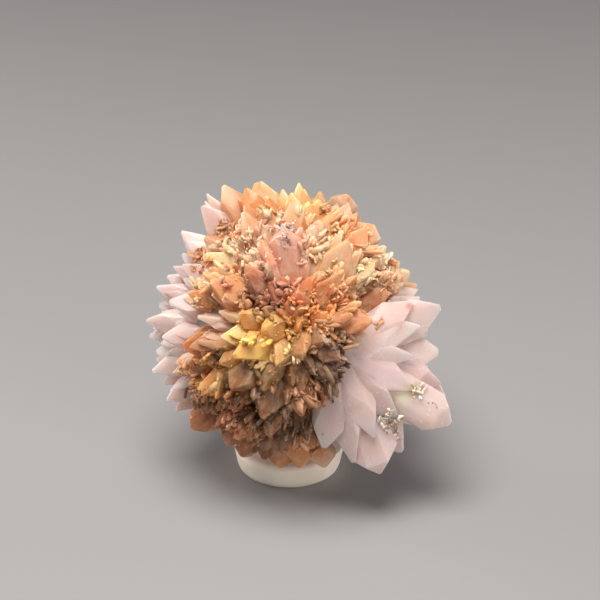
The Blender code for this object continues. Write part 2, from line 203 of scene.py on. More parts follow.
LEFT_SPRAY = [
    Blade(124, 2, 19.8, 3.2, 1.9, 10, 67),
    Blade(128, 6, 19.0, 3.8, 2.3, 0, 65),
    Blade(140, 3, 18.5, 4.6, 2.8, 15, 57),
    Blade(148, 0, 16.8, 3.2, 1.9, 0, 59),
    Blade(154, 4, 17.0, 3.0, 1.8, -10, 63),
    Blade(159, -2, 17.2, 3.0, 1.8, 20, 61),
    Blade(164, 3, 18.0, 3.2, 1.9, 0, 65),
    Blade(171, 0, 17.2, 3.0, 1.8, 12, 61),
    Blade(178, 4, 18.6, 3.6, 2.2, -8, 59),
    Blade(184, -4, 18.4, 3.2, 1.9, 5, 61),
    Blade(190, 3, 17.6, 3.2, 1.9, 0, 61),
    Blade(197, 2, 18.6, 4.2, 2.5, 10, 63),
    Blade(203, -3, 18.1, 3.2, 1.9, 0, 61),
    Blade(209, 2, 18.4, 3.6, 2.2, -12, 63),
    Blade(215, -2, 18.2, 3.0, 1.8, 8, 61),
    Blade(152, 22, 17.0, 3.6, 2.2, 0, 61),
    Blade(168, 24, 17.2, 3.6, 2.2, 20, 63),
    Blade(184, 22, 17.6, 3.8, 2.3, 0, 61),
    Blade(200, 24, 17.4, 3.6, 2.2, -15, 63),
]
CROWN = [
    Blade(117, 4, 19.7, 4.2, 2.7, 10, 65),
    Blade(110, 8, 18.3, 3.4, 2.2, 0, 57),
    Blade(105, 2, 18.5, 5.2, 3.4, -14, 57),
    Blade(96, 5, 17.1, 2.6, 1.7, 0, 63),
    Blade(89, 2, 17.8, 3.3, 2.1, 0, 69),
    Blade(80, 2, 16.2, 2.8, 1.8, 20, 53),
    Blade(74, 5, 16.5, 2.8, 1.8, 0, 53),
    Blade(69, 3, 17.5, 3.8, 2.5, 0, 38),
    Blade(61, 6, 15.9, 3.0, 2.0, 0, 55),
    Blade(53, 8, 15.9, 4.0, 2.9, 20, 34),
    Blade(42, 4, 13.2, 3.0, 2.5, 0, 36),
    Blade(33, 8, 15.1, 3.2, 2.1, 10, 44),
    Blade(26, 4, 15.5, 3.0, 2.0, 25, 53),
    Blade(17, 2, 15.6, 3.2, 2.1, 0, 55),
]
RIGHT_HEART = HEART + 4.7 * MM * RIGHT - 2.8 * MM * UP
RIGHT_SPRAY = [
    Blade(8, 23, 19.0, 5.6, 3.0, 4, 62),
    Blade(-10, 20, 18.4, 4.8, 2.6, -6, 62),
    Blade(-21, 19, 19.6, 5.2, 2.8, 0, 60),
    Blade(-26, 14, 20.5, 4.8, 2.4, 8, 58),
    Blade(-32, 17, 22.9, 5.8, 2.8, 0, 54),
    Blade(-46, 16, 19.4, 5.2, 2.8, -8, 60),
    Blade(-50, 4, 20.1, 4.8, 2.4, 0, 57),
    Blade(-60, 19, 21.3, 6.8, 3.4, 0, 46),
    Blade(-67, 27, 19.7, 4.6, 2.6, 6, 67),
    Blade(-72, 9, 16.4, 4.2, 2.4, 0, 60),
    Blade(-77, 35, 17.9, 4.4, 2.6, 0, 60),
    Blade(14, 8, 15.6, 4.0, 2.4, 0, 60),
    Blade(-1, 12, 16.4, 5.2, 2.8, 0, 62),
    Blade(-38, 8, 19.2, 5.0, 2.6, 0, 62),
    Blade(-56, 6, 18.8, 5.0, 2.6, 0, 62),
    Blade(13, 35, 17.2, 4.2, 2.4, -6, 66),
    Blade(0, 33, 17.6, 4.4, 2.4, 8, 66),
    Blade(-14, 33, 17.4, 4.6, 2.4, 0, 66),
    Blade(-28, 31, 18.2, 4.6, 2.6, -8, 66),
    Blade(-42, 30, 18.6, 4.8, 2.6, 6, 66),
    Blade(-55, 33, 19.0, 4.4, 2.4, -6, 66),
    Blade(0, -18, 17.0, 5.4, 3.0, 0, 59),
    Blade(-18, -18, 18.2, 5.6, 3.0, 0, 59),
    Blade(-36, -18, 19.0, 5.6, 3.0, 0, 57),
    Blade(-54, -18, 18.6, 5.6, 3.0, 0, 57),
]
FOOT = [
    Blade(224, 8, 18.1, 3.4, 2.8, 0, 42),
    Blade(231, 14, 16.2, 3.0, 2.5, 20, 53),
    Blade(239, 8, 17.0, 3.4, 2.7, 0, 40),
    Blade(247, 6, 17.4, 3.2, 2.6, 10, 44),
    Blade(256, 14, 17.1, 3.4, 2.8, 0, 44),
    Blade(263, 6, 17.5, 3.6, 3.0, -10, 42),
    Blade(271, 8, 17.4, 4.6, 3.6, 0, 44),
    Blade(281, 8, 17.7, 4.0, 3.2, 15, 44),
    Blade(288, 22, 16.6, 3.4, 2.8, 0, 55),
]
FACE = [
    Blade(97, 50, 18.6, 4.4, 3.2, 0, 48),
    Blade(59, 49, 18.2, 6.0, 4.0, 10, 56),
    Blade(52, 62, 17.4, 4.4, 3.0, 0, 62),
    Blade(55, 33, 17.4, 4.4, 3.0, 0, 52),
    Blade(152, 50, 17.8, 5.0, 3.2, 15, 58),
    Blade(128, 57, 17.6, 4.0, 2.8, 0, 62),
    Blade(203, 64, 18.0, 5.0, 3.2, 10, 60),
    Blade(180, 77, 17.4, 3.8, 2.6, 0, 60),
    Blade(90, 76, 17.5, 4.0, 2.6, 20, 60),
    Blade(20, 76, 17.4, 3.8, 2.6, 0, 60),
    Blade(240, 74, 17.4, 4.0, 2.6, 0, 60),
    Blade(285, 80, 17.6, 4.0, 2.8, 30, 58),
    Blade(325, 70, 17.8, 4.0, 2.8, 20, 50),
    Blade(308, 64, 17.5, 3.6, 2.6, 0, 56),
    Blade(6, 60, 17.4, 4.6, 2.8, 0, 58),
    Blade(222, 54, 17.8, 4.0, 2.8, 20, 50),
    Blade(212, 38, 17.6, 2.4, 1.8, 0, 69),
    Blade(250, 50, 17.7, 4.2, 2.8, 0, 58),
    Blade(274, 55, 18.0, 4.4, 2.8, 0, 62),
    Blade(262, 32, 17.6, 4.2, 3.0, 15, 58),
    Blade(242, 28, 17.3, 3.8, 2.8, 0, 58),
    Blade(277, 34, 17.5, 3.8, 2.8, 0, 62),
    Blade(141, 38, 17.7, 4.4, 2.8, 0, 58),
    Blade(115, 32, 18.0, 4.4, 3.0, 0, 62),
    Blade(92, 28, 17.6, 4.0, 2.8, 0, 62),
    Blade(70, 27, 17.2, 4.0, 2.8, 0, 58),
    Blade(28, 38, 16.0, 4.2, 3.0, 0, 54),
    Blade(37, 23, 15.6, 5.2, 4.2, 0, 36),
]
named = [LEFT_SPRAY, CROWN, FOOT, FACE, RIGHT_SPRAY]
print(sum(len(group) for group in named), "named crystals")

# %% [markdown]
# Between them the ball is closed by smaller crystals, about as many again in each direction. They
# have three habits: stout and tilted in the crust, broad on the right, slender on the left. Their
# tips are spread evenly and keep clear of each other, which is how crystals that compete for room
# end up.

# %% Where the crust ends and the sprays begin
# The lean at which the crust starts, for clock angles down the left side of the ball.
CRUST_EDGE = [
    (118, 22),
    (132, 27),
    (146, 32),
    (166, 33),
    (176, 44),
    (186, 48),
    (196, 43),
    (204, 31),
    (222, 8),
]
CRUST_LEAN = 38  # the lean at which it starts everywhere else


def crust_edge(clock):
    """The lean at which the crust starts, drawn straight between the angles above."""
    if not CRUST_EDGE[0][0] <= clock <= CRUST_EDGE[-1][0]:
        return CRUST_LEAN
    for (low, start), (high, end) in zip(CRUST_EDGE, CRUST_EDGE[1:]):
        if clock <= high:
            return start + (end - start) * (clock - low) / (high - low)


def spray_edge(clock, lean):
    """How many degrees a direction is inside the pale spray on the right, negative outside it."""
    signed = clock - 360 if clock > 180 else clock
    upper = 16 + 0.45 * max(0, lean - 36)
    forward = 60 if signed > -56 else 60 - 0.5 * (-56 - signed)
    return min(signed + 79, upper - signed, forward - lean)


def in_right_spray(clock, lean):
    """Whether a direction belongs to the pale blades on the right."""
    return spray_edge(clock, lean) > 0


def in_crust(clock, lean):
    """Whether a direction belongs to the rusty crust: the best face, the crown and the foot."""
    crown = 20 < clock < 120 and lean > -22
    foot = 222 < clock < 281 and lean > -12
    return (lean > crust_edge(clock) or crown or foot) and not in_right_spray(clock, lean)


def in_notch(clock, lean):
    """Whether a direction is on the low shoulder at the ball's upper right."""
    return 12 < clock < 62 and abs(lean) < 28


def habit(clock, lean):
    """Which part of the ball a direction is in."""
    if in_right_spray(clock, lean):
        return "right"
    if in_crust(clock, lean):
        return "crust" if lean > 14 else "crown"
    return "left"


# %% The filling crystals
Filling = namedtuple("Filling", "thin wide short long steep tilt clear flat")
CRUST_FILLING = Filling(2.6, 4.0, 15.9, 17.5, 58, 16, 0.82, 0.62)
RIGHT_FILLING = Filling(4.0, 5.4, 14.8, 16.2, 58, 6, 0.8, 0.5)
LEFT_FILLING = Filling(4.0, 5.2, 16.0, 17.4, 62, 6, 0.88, 0.6)
FILL_SEED = 41
FILL_TRIED = 1500  # directions tried, spread evenly round the whole ball
SPRAY_CLOSED = 4  # in front of this lean the named blades close the right spray by themselves
NOTCH_DEPTH = 2.3 * MM
CLEFT, CLEFT_SPREAD, CLEFT_DEPTH = 43, 6, 1.2 * MM  # a cleft in the notch, by its clock angle


def filling_at(clock, lean):
    if in_crust(clock, lean):
        return CRUST_FILLING
    return RIGHT_FILLING if in_right_spray(clock, lean) else LEFT_FILLING


def filling(taken):
    """The blades that fill the ball between the directions already taken, each with its axis."""
    chance = random.Random(FILL_SEED)
    golden = math.pi * (3 - math.sqrt(5))
    order = list(range(FILL_TRIED))
    chance.shuffle(order)
    found = []
    for i in order:
        z = 1 - 2 * (i + 0.5) / FILL_TRIED
        flat = math.sqrt(1 - z * z)
        direction = Vector((flat * math.cos(golden * i), flat * math.sin(golden * i), z))
        clock, lean = clock_and_lean(direction)
        kind = filling_at(clock, lean)
        width = chance.uniform(kind.thin, kind.wide)
        reach = chance.uniform(kind.short, kind.long)
        roll = chance.uniform(-1, 1) * (90 if kind is CRUST_FILLING else 20)
        tilt = Vector([chance.uniform(-1, 1) for _ in range(3)]) * math.tan(math.radians(kind.tilt))
        if in_notch(clock, lean):
            reach -= (NOTCH_DEPTH + (CLEFT_DEPTH if abs(clock - CLEFT) < CLEFT_SPREAD else 0)) / MM
        if in_right_spray(clock, lean) and lean > SPRAY_CLOSED:
            continue
        if any((direction - other).length * reach < kind.clear * width for other in taken):
            continue
        taken.append(direction)
        blade = Blade(clock, lean, reach, width, kind.flat * width, roll, kind.steep)
        found.append((blade, (direction + tilt / math.sqrt(3)).normalized()))
    return found


Seedling = namedtuple("Seedling", "tip axis blade sides")
SPINE_SHARE = {"left": 1.1, "right": 1.5, "crown": 0.8, "crust": 0.7}
SPINE_END = 11 * MM  # no blade starts farther forward than this
BACK_LEAN = -24  # behind this, blades simply point away from the heart


def growing_way(tip, where):
    """The axis of a blade that starts from the spine, a line through the heart along FORWARD.

    The share says how far forward along the spine it starts, against how far forward its tip is."""
    start = RIGHT_HEART if where == "right" else HEART
    forward = min(SPINE_END, (tip - HEART).dot(FORWARD) * SPINE_SHARE[where])
    return (tip - start - FORWARD * forward).normalized()


def main_crystals():
    """The named crystals and the filling between them, each with its tip, its axis and its sides."""
    grown = []
    for group in (LEFT_SPRAY, CROWN, FOOT, FACE, RIGHT_SPRAY):
        for blade in group:
            tip = HEART + heading(blade.clock, blade.lean) * blade.reach * MM
            if group is RIGHT_SPRAY:
                grown.append(Seedling(tip, growing_way(tip, "right"), blade, 8))
            else:
                axis = growing_way(tip, habit(blade.clock % 360, blade.lean))
                grown.append(Seedling(tip, axis, blade, 6))
    taken = [(seedling.tip - HEART).normalized() for seedling in grown]
    for blade, tilted in filling(taken):
        tip = HEART + heading(blade.clock, blade.lean) * blade.reach * MM
        axis = tilted
        if blade.lean > BACK_LEAN:
            straight = growing_way(tip, habit(blade.clock, blade.lean))
            axis = (straight + tilted - (tip - HEART).normalized()).normalized()
        grown.append(Seedling(tip, axis, blade, 6))
    return grown


seedlings = main_crystals()
print(len(seedlings), "main crystals")

# %% [markdown]
# Iron stains the crystals in patches, each a few crystals wide. A stain is a direction, a spread in
# degrees, a colour and a strength. The colour of a place is the mean of the ground colour there and
# of every stain, each weighted by how near it is. Paints are written in the 0 to 255 scale of a
# colour picker and turned into the linear values that light adds up in.

# %% Paints
def paint(red, green, blue):
    """A colour picker's colour as linear light."""
    channels = [c / 255 for c in (red, green, blue)]
    return Vector([c / 12.92 if c <= 0.04045 else ((c + 0.055) / 1.055) ** 2.4 for c in channels])


LILAC = paint(214, 191, 191)
CLEAN_WHITE = paint(229, 211, 207)
TAN = paint(220, 164, 112)
CREAM = paint(248, 220, 180)
CREAM_WHITE = paint(244, 224, 196)
ROSE_GREY = paint(166, 142, 126)
CREAM_YELLOW = paint(244, 204, 140)
HONEY = paint(204, 142, 82)
YELLOW = paint(250, 200, 100)
GOLD = paint(224, 150, 60)
PEACH = paint(236, 166, 110)
APRICOT = paint(214, 140, 88)
ORANGE = paint(212, 118, 52)
SALMON = paint(210, 116, 84)
ROSE_RED = paint(222, 150, 138)
PINK_GREY = paint(234, 182, 166)
GREY = paint(120, 102, 96)
RED_BROWN = paint(96, 28, 10)
GOLD_BROWN = paint(144, 84, 32)
ROSE_BROWN = paint(160, 108, 82)
TAN_BROWN = paint(158, 98, 56)
RUSSET = paint(116, 66, 30)
BROWN = paint(84, 42, 18)
DARK_BROWN = paint(56, 24, 8)
GREY_BROWN = paint(92, 56, 38)
UMBER = paint(40, 20, 12)
PALE_OLIVE = paint(238, 228, 200)
OLIVE = paint(186, 168, 120)
print("lilac is", [round(c, 2) for c in LILAC])

# %% The stains
Stain = namedtuple("Stain", "clock lean spread colour strength")
STAINS = [
    Stain(96, 48, 5, GREY, 2.5),
    Stain(104, 40, 14, PINK_GREY, 3.6),
    Stain(82, 50, 12, PINK_GREY, 2.2),
    Stain(115, 62, 11, PINK_GREY, 2.4),
    Stain(88, 12, 12, CREAM_YELLOW, 1.8),
    Stain(93, 24, 9, YELLOW, 0.8),
    Stain(117, 8, 8, HONEY, 5.0),
    Stain(106, 14, 9, HONEY, 5.0),
    Stain(102, 3, 4.5, CREAM, 5.0),
    Stain(62, 28, 13, PEACH, 1.6),
    Stain(52, 28, 9, APRICOT, 3.0),
    # Partly the crystal's own cream, partly painted light: this big bare crystal faces away from the
    # lamps, and its stain is made paler for it.
    Stain(62, 52, 9, CREAM, 9.0),
    Stain(50, 42, 6, ORANGE, 2.0),
    Stain(50, 67, 10, ORANGE, 2.0),
    Stain(37, 53, 9, CREAM, 2.0),
    Stain(37, 33, 10, CREAM_WHITE, 3.4),
    Stain(26, 34, 5, GOLD_BROWN, 1.6),
    Stain(24, 42, 8, APRICOT, 2.6),
    Stain(22, 64, 11, PEACH, 1.6),
    Stain(6, 61, 7, TAN_BROWN, 2.0),
    Stain(51, 82, 7, GOLD, 2.0),
    Stain(150, 55, 12, APRICOT, 3.0),
    Stain(139, 70, 7.5, RED_BROWN, 14.0),
    Stain(105, 76, 8, SALMON, 2.2),
    Stain(200, 72, 11, YELLOW, 5.0),
    Stain(183, 62, 9, CREAM_YELLOW, 2.0),
    Stain(250, 77, 5, CREAM, 2.0),
    Stain(322, 74, 8, GREY, 2.4),
    Stain(330, 68, 8, GREY_BROWN, 2.2),
    Stain(308, 64, 9, UMBER, 3.4),
    Stain(146, 31, 6, GOLD, 1.6),
    Stain(127, 22, 6, BROWN, 1.6),
    Stain(125, 42, 11, CREAM, 2.0),
    Stain(147, 43, 10, CREAM, 1.6),
    Stain(163, 42, 8, CREAM, 1.4),
    Stain(185, 50, 10, GOLD_BROWN, 1.6),
    Stain(206, 33, 9, GOLD, 6.0),
    Stain(212, 41, 6, YELLOW, 1.2),
    Stain(215, 26, 9, BROWN, 1.4),
    Stain(226, 12, 9, ROSE_BROWN, 3.0),
    Stain(217, 58, 6, GREY_BROWN, 1.6),
    # Partly stain, partly painted shade: the russet and dark browns from here to the low brown stain round
    # the foot are darker than the iron stain, for the shade under the ball.
    Stain(230, 54, 13, RUSSET, 3.2),
    Stain(250, 53, 12, DARK_BROWN, 9.0),
    Stain(268, 60, 10, GOLD_BROWN, 3.0),
    Stain(286, 56, 8, ORANGE, 1.0),
    Stain(293, 62, 9, BROWN, 2.0),
    Stain(238, 30, 13, TAN_BROWN, 5.0),
    Stain(260, 42, 9, DARK_BROWN, 11.0),
    Stain(256, 14, 12, BROWN, 2.4),
    Stain(271, 26, 9, ORANGE, 2.2),
    Stain(270, 10, 9, TAN, 1.4),
    Stain(284, 30, 8, GREY_BROWN, 1.6),
    Stain(32, 10, 12, CREAM_WHITE, 3.0),
    Stain(68, 4, 8, ROSE_GREY, 9.0),
]
stain_directions = np.array([heading(stain.clock, stain.lean) for stain in STAINS])
stain_spreads = np.radians([stain.spread for stain in STAINS])
stain_strengths = np.array([stain.strength for stain in STAINS])
stain_colours = np.array([stain.colour for stain in STAINS])
print(len(STAINS), "stains")


# %% The colour of a place on the ball
CLEARINGS = [(heading(176, 54), 11), (heading(128, 14), 5)]  # where clean crystals reach into the crust


def rustiness(direction):
    """1 in the middle of the crust, 0 on the clean sprays, with a ragged border between them."""
    clock, lean = clock_and_lean(direction)
    ragged = 9 * noise(direction * 5.0)
    clock, lean = (clock + ragged) % 360, lean + ragged
    front = (lean - crust_edge(clock)) / 8 + 0.5
    crown = min(clock - 20, 119 - clock, lean + 22) / 8 + 0.5
    foot = min(clock - 218, 281 - clock, lean + 14) / 8 + 0.5
    spray = spray_edge(clock, lean) / 8 + 0.5
    rust = max(0.0, min(1.0, max(front, crown, foot), 1.0 - max(0.0, min(1.0, spray))))
    for middle, spread in CLEARINGS:
        rust *= 1 - math.exp(-((direction.angle(middle) / math.radians(spread)) ** 4))
    return rust


def stained(direction, chance):
    """A crystal's colour: the ground colour where it stands, the stains near it, and its own luck."""
    angles = np.arccos(np.clip(stain_directions @ np.array(direction), -1, 1))
    weights = stain_strengths * np.exp(-((angles / stain_spreads) ** 2))
    rust = rustiness(direction)
    ground = LILAC.lerp(CLEAN_WHITE, chance.random()).lerp(TAN, rust)
    weights = weights * (0.15 + 0.85 * rust)
    colour = (Vector(weights @ stain_colours) + 0.5 * ground) / (weights.sum() + 0.5)
    shade = 1 + rust * chance.uniform(-0.2, 0.2)
    stray = chance.choice([CREAM, CREAM, GOLD, PEACH, TAN, PINK_GREY])
    return colour.lerp(stray, 0.24 * rust * chance.random() ** 2) * shade


print("the middle of the face is", [round(c, 2) for c in stained(heading(90, 85), random.Random(1))])

# %% [markdown]
# One crystal is a flattened prism. It could be a cone with six sides, but a real blade is cut at
# its end by a few sloping faces, so the prism is drawn out from a circle of six points, and each
# tip face is one flat cut across it. Then its edges get a fine bevel: no natural edge is razor
# sharp, and the bevel is what catches the light. Every crystal carries its colour on its faces.

# %% How a crystal is cut
ROOT_RADIUS = 8.5 * MM
ROOT_TAPER = 0.8
TIP_RIDGE = 0.1
TIP_SPREAD = 7
BROAD_STEEPER = 18  # how much steeper the tip faces on a blade's broad sides are, in degrees
TURN_SPREAD = 0.3
SHORTEST_EDGE = 0.02 * MM


def cut_flat(bm, point, normal):
    """Cuts away what is past a plane and closes the cut with one flat face."""
    cut = bmesh.ops.bisect_plane(
        bm,
        geom=bm.verts[:] + bm.edges[:] + bm.faces[:],
        dist=1e-7,
        plane_co=point,
        plane_no=normal,
        clear_outer=True,
    )
    rim = [e for e in cut["geom_cut"] if isinstance(e, bmesh.types.BMEdge) and e.is_boundary]
    if rim:
        bmesh.ops.contextual_create(bm, geom=rim)


def buried_length(tip, axis):
    """How long a crystal is, from its tip back to its root inside the middle."""
    out = tip - HEART
    along = out.dot(axis)
    beside = out.length_squared - along * along
    return along - math.sqrt(max(0.0, ROOT_RADIUS**2 - beside))


def prism(blade, length, sides, chance):
    """A flattened prism, narrower at its root, with its tip cut by sloping faces."""
    width, thick = blade.width * MM, blade.thick * MM
    bm = bmesh.new()
    bmesh.ops.create_circle(bm, cap_ends=True, segments=sides, radius=0.5)
    bmesh.ops.rotate(bm, verts=bm.verts, matrix=Matrix.Rotation(math.pi / sides, 3, "Z"))
    bmesh.ops.scale(bm, verts=bm.verts, vec=(ROOT_TAPER * width, ROOT_TAPER * thick, 1))
    shaft = bmesh.ops.extrude_face_region(bm, geom=bm.faces[:])
    end = [v for v in shaft["geom"] if isinstance(v, bmesh.types.BMVert)]
    bmesh.ops.scale(bm, verts=end, vec=(1 / ROOT_TAPER, 1 / ROOT_TAPER, 1))
    bmesh.ops.translate(bm, verts=end, vec=(0, 0, length))
    facets = min(4, sides - 1)
    for facet in range(facets):
        broad = BROAD_STEEPER if facet % 2 else 0
        slope = math.radians(min(80, blade.steep + broad + chance.uniform(-TIP_SPREAD, TIP_SPREAD)))
        turn = 2 * math.pi / facets * facet + chance.uniform(-TURN_SPREAD, TURN_SPREAD)
        outward = Vector((math.cos(turn), math.sin(turn), 0))
        foot = Vector((0, 0, length)) + outward * chance.uniform(0, TIP_RIDGE) * width
        cut_flat(bm, foot, outward * math.sin(slope) + Vector((0, 0, math.cos(slope))))
    bmesh.ops.remove_doubles(bm, verts=bm.verts, dist=SHORTEST_EDGE)
    bmesh.ops.recalc_face_normals(bm, faces=bm.faces)
    return bm


def soften(bm, edge, segments):
    """Bevels every edge above the root."""
    root = 0.05 * max(v.co.z for v in bm.verts)
    sharp = [e for e in bm.edges if max(v.co.z for v in e.verts) > root]
    bmesh.ops.bevel(
        bm,
        geom=sharp,
        offset=edge,
        offset_type="OFFSET",
        segments=segments,
        profile=0.5,
        affect="EDGES",
        material=-1,
        clamp_overlap=True,
    )
    bmesh.ops.remove_doubles(bm, verts=bm.verts, dist=1e-7)


def turned_to(axis, roll):
    """The turn that points a crystal along its axis, with its broad side to the viewer at roll 0."""
    across = axis.cross(FORWARD) + 0.001 * RIGHT
    across = (across - axis * across.dot(axis)).normalized()
    aimed = Matrix((across, axis.cross(across), axis)).transposed()
    return aimed @ Matrix.Rotation(math.radians(roll), 3, "Z")


def stand(bm, tip, axis, roll):
    """Turns a crystal along its axis and moves it so that its highest point is at its tip."""
    to_tip = Matrix.Translation((0, 0, -max(v.co.z for v in bm.verts)))
    turned = turned_to(axis, roll).to_4x4()
    bmesh.ops.transform(bm, verts=bm.verts, matrix=Matrix.Translation(tip) @ turned @ to_tip)


def colour_faces(bm, colour):
    """Writes one colour on every face."""
    layer = bm.faces.layers.float_color.new("tint")
    for face in bm.faces:
        face[layer] = (*colour, 1)


sample = prism(Blade(0, 0, 17, 4, 3, 0, 55), 8 * MM, 6, random.Random(1))
soften(sample, 0.15 * MM, 2)
print("a softened crystal has", len(sample.faces), "faces")
sample.free()

# %% [markdown]
# A blade of creedite is seldom alone. Beside each big one stand shorter, thinner ones that grew
# nearly parallel to it, and these steps are what make the sprays look feathered. They are made
# from their parent: pulled back along its axis, moved to one side and turned a few degrees.

# %% The companions of the big blades
COMPANION_SEED = 7
COMPANIONS = {"left": 2, "right": 0, "crown": 2, "crust": 2}


def companions(seedling, chance):
    """Shorter blades that lean on a main one, nearly parallel to it."""
    blade, axis = seedling.blade, seedling.axis
    found = []
    for _ in range(COMPANIONS[habit(blade.clock % 360, blade.lean)]):
        turn = chance.uniform(0, 2 * math.pi)
        beside = axis.orthogonal().normalized()
        beside.rotate(Matrix.Rotation(turn, 3, axis))
        back = chance.uniform(0.5, 2.6) * MM
        aside = chance.uniform(0.18, 0.4) * blade.width * MM
        tip = seedling.tip - axis * back + beside * aside
        leaning = (axis + beside * math.tan(math.radians(chance.uniform(1, 5)))).normalized()
        share = chance.uniform(0.5, 0.85)
        small = blade._replace(
            width=share * blade.width,
            thick=share * blade.thick,
            roll=blade.roll + chance.uniform(-12, 12),
            steep=blade.steep + chance.uniform(-4, 10),
        )
        found.append(Seedling(tip, leaning, small, 6))
    return found


chance = random.Random(COMPANION_SEED)
companion_crystals = [c for seedling in seedlings for c in companions(seedling, chance)]
print(len(companion_crystals), "companions")

# %% [markdown]
# On the flanks and the back the main blades stand farther apart, and low blades fill the room
# between them. Each place of an evenly spread set is tried in turn, and it gets a blade where the
# nearest tip is far enough. They stay lower than the main tips, so the outline doesn't change.

# %% The undergrowth of the clean sprays
UNDERGROWTH_TRIED = 1800
UNDERGROWTH_LEAN = 6  # it fills the sprays behind this lean
UNDERGROWTH_CLEAR = 1.35  # in mm, how far its tips keep from any other tip


def undergrowth(taken):
    """Short clean blades low between the main ones, which stand too far apart to hide the middle."""
    chance = random.Random(COMPANION_SEED + 2)
    golden = math.pi * (3 - math.sqrt(5))
    found = []
    for i in range(UNDERGROWTH_TRIED):
        z = 1 - 2 * (i + 0.5) / UNDERGROWTH_TRIED
        flat = math.sqrt(1 - z * z)
        direction = Vector((flat * math.cos(golden * i), flat * math.sin(golden * i), z))
        clock, lean = clock_and_lean(direction)
        width, reach = chance.uniform(2.2, 3.4), chance.uniform(14.9, 16.2)
        roll, tilt = chance.uniform(-90, 90), Vector([chance.gauss(0, 0.08) for _ in range(3)])
        if in_crust(clock, lean) or lean > UNDERGROWTH_LEAN:
            continue
        if any((direction - other).length * reach < UNDERGROWTH_CLEAR for other in taken):
            continue
        taken.append(direction)
        blade = Blade(clock, lean, reach, width, 0.6 * width, roll, 60)
        found.append(Seedling(HEART + direction * reach * MM, (direction + tilt).normalized(), blade, 6))
    return found


low_blades = undergrowth([(seedling.tip - HEART).normalized() for seedling in seedlings])
print(len(low_blades), "blades of undergrowth")

# %% [markdown]
# The massive middle is a ball with low lumps, and every crystal is rooted in it. All of them are
# joined by one Boolean union, so the cluster is a single closed skin with no faces hidden inside,
# which is what lets light travel through it. The manifold solver joins hundreds of closed pieces
# in seconds and hands each face its colour from the crystal it came from.

# %% Joining crystals into one skin
CORE_RADIUS = 14.2 * MM
CORE_LUMP = 0.6 * MM
SPRAY_DEPTH = 5.5 * MM  # how much lower the middle is under the right spray
# Painted shade: the middle shows only in the gaps between crystals, and its colour is the stain there
# times this share.
CORE_PAINTED_SHADE = 0.6
SOFT_EDGE = {"left": 0.16, "right": 0.32, "crown": 0.12, "crust": 0.1}  # in mm
SHOWN_BACK = 2 * MM  # how far behind its tip a crystal takes its colour


def core():
    """The massive middle: a ball with low lumps."""
    chance = random.Random(FILL_SEED)
    bm = bmesh.new()
    bmesh.ops.create_icosphere(bm, subdivisions=3, radius=CORE_RADIUS)
    for v in bm.verts:
        out = v.co.normalized()
        place = clock_and_lean(out)
        low = NOTCH_DEPTH if in_notch(*place) else 0
        if in_right_spray(*place) and place[1] > SPRAY_CLOSED:
            low = SPRAY_DEPTH
        v.co += out * (chance.uniform(-CORE_LUMP, CORE_LUMP) - low)
    layer = bm.faces.layers.float_color.new("tint")
    for face in bm.faces:
        out = face.calc_center_median().normalized()
        # painted shade: the middle, seen in the gaps, is darker than the stain of its place
        face[layer] = (*(CORE_PAINTED_SHADE * stained(out, chance)), 1)
        face.material_index = 0 if rustiness(out) > 0.5 else 1
    bmesh.ops.translate(bm, verts=bm.verts, vec=HEART)
    return bm


MILKY = bpy.data.materials.new("milky_creedite")
STAINED = bpy.data.materials.new("stained_creedite")


def grow(collection, crystals, chance, luck):
    """Makes each crystal as a closed mesh in the collection."""
    for seedling in crystals:
        where = habit(seedling.blade.clock % 360, seedling.blade.lean)
        length = buried_length(seedling.tip, seedling.axis)
        bm = prism(seedling.blade, length, seedling.sides, chance)
        soften(bm, min(SOFT_EDGE[where], 0.1 * seedling.blade.width) * MM, 3 if where == "right" else 2)
        stand(bm, seedling.tip, seedling.axis, seedling.blade.roll)
        out = (seedling.tip - seedling.axis * SHOWN_BACK - HEART).normalized()
        colour_faces(bm, stained(out, luck))
        obj = new_object("crystal", bm)
        obj.data.materials.append(STAINED if rustiness(out) > 0.5 else MILKY)
        bpy.context.scene.collection.objects.unlink(obj)
        collection.objects.link(obj)


def join(body, collection, operation):
    """Applies one Boolean with everything in the collection, which is then removed."""
    boolean = body.modifiers.new(operation, "BOOLEAN")
    boolean.operation = operation
    boolean.solver = "MANIFOLD"
    boolean.operand_type = "COLLECTION"
    boolean.material_mode = "TRANSFER"
    boolean.collection = collection
    graph = bpy.context.evaluated_depsgraph_get()
    joined = bpy.data.meshes.new_from_object(body.evaluated_get(graph))
    body.modifiers.clear()
    body.data = joined
    for obj in list(collection.objects):
        bpy.data.objects.remove(obj, do_unlink=True)
    bpy.data.collections.remove(collection)


def new_collection(name):
    made = bpy.data.collections.new(name)
    bpy.context.scene.collection.children.link(made)
    return made


cluster = new_object("creedite_crystals", core())
cluster.data.materials.append(STAINED)
cluster.data.materials.append(MILKY)
batch = new_collection("main_crystals")
luck = random.Random(COMPANION_SEED + 1)
grow(batch, seedlings, random.Random(FILL_SEED + 1), luck)
grow(batch, companion_crystals, chance, luck)
grow(batch, low_blades, chance, luck)
join(cluster, batch, "UNION")
print("the joined sprays have", len(cluster.data.polygons), "faces")

# %% [markdown]
# Over the crust lies a younger generation of crystals, a half to one millimetre wide, that grew on
# the older ones at all angles. They are rooted at seeded random places on the skin, spread by area.
# Joining thousands of them with Booleans would cost minutes and split every face, so they stay
# loose: a few dozen shapes are cut once, and their corners are repeated with numpy in one mesh.

# %% Places on the skin
Spot = namedtuple("Spot", "place normal out")


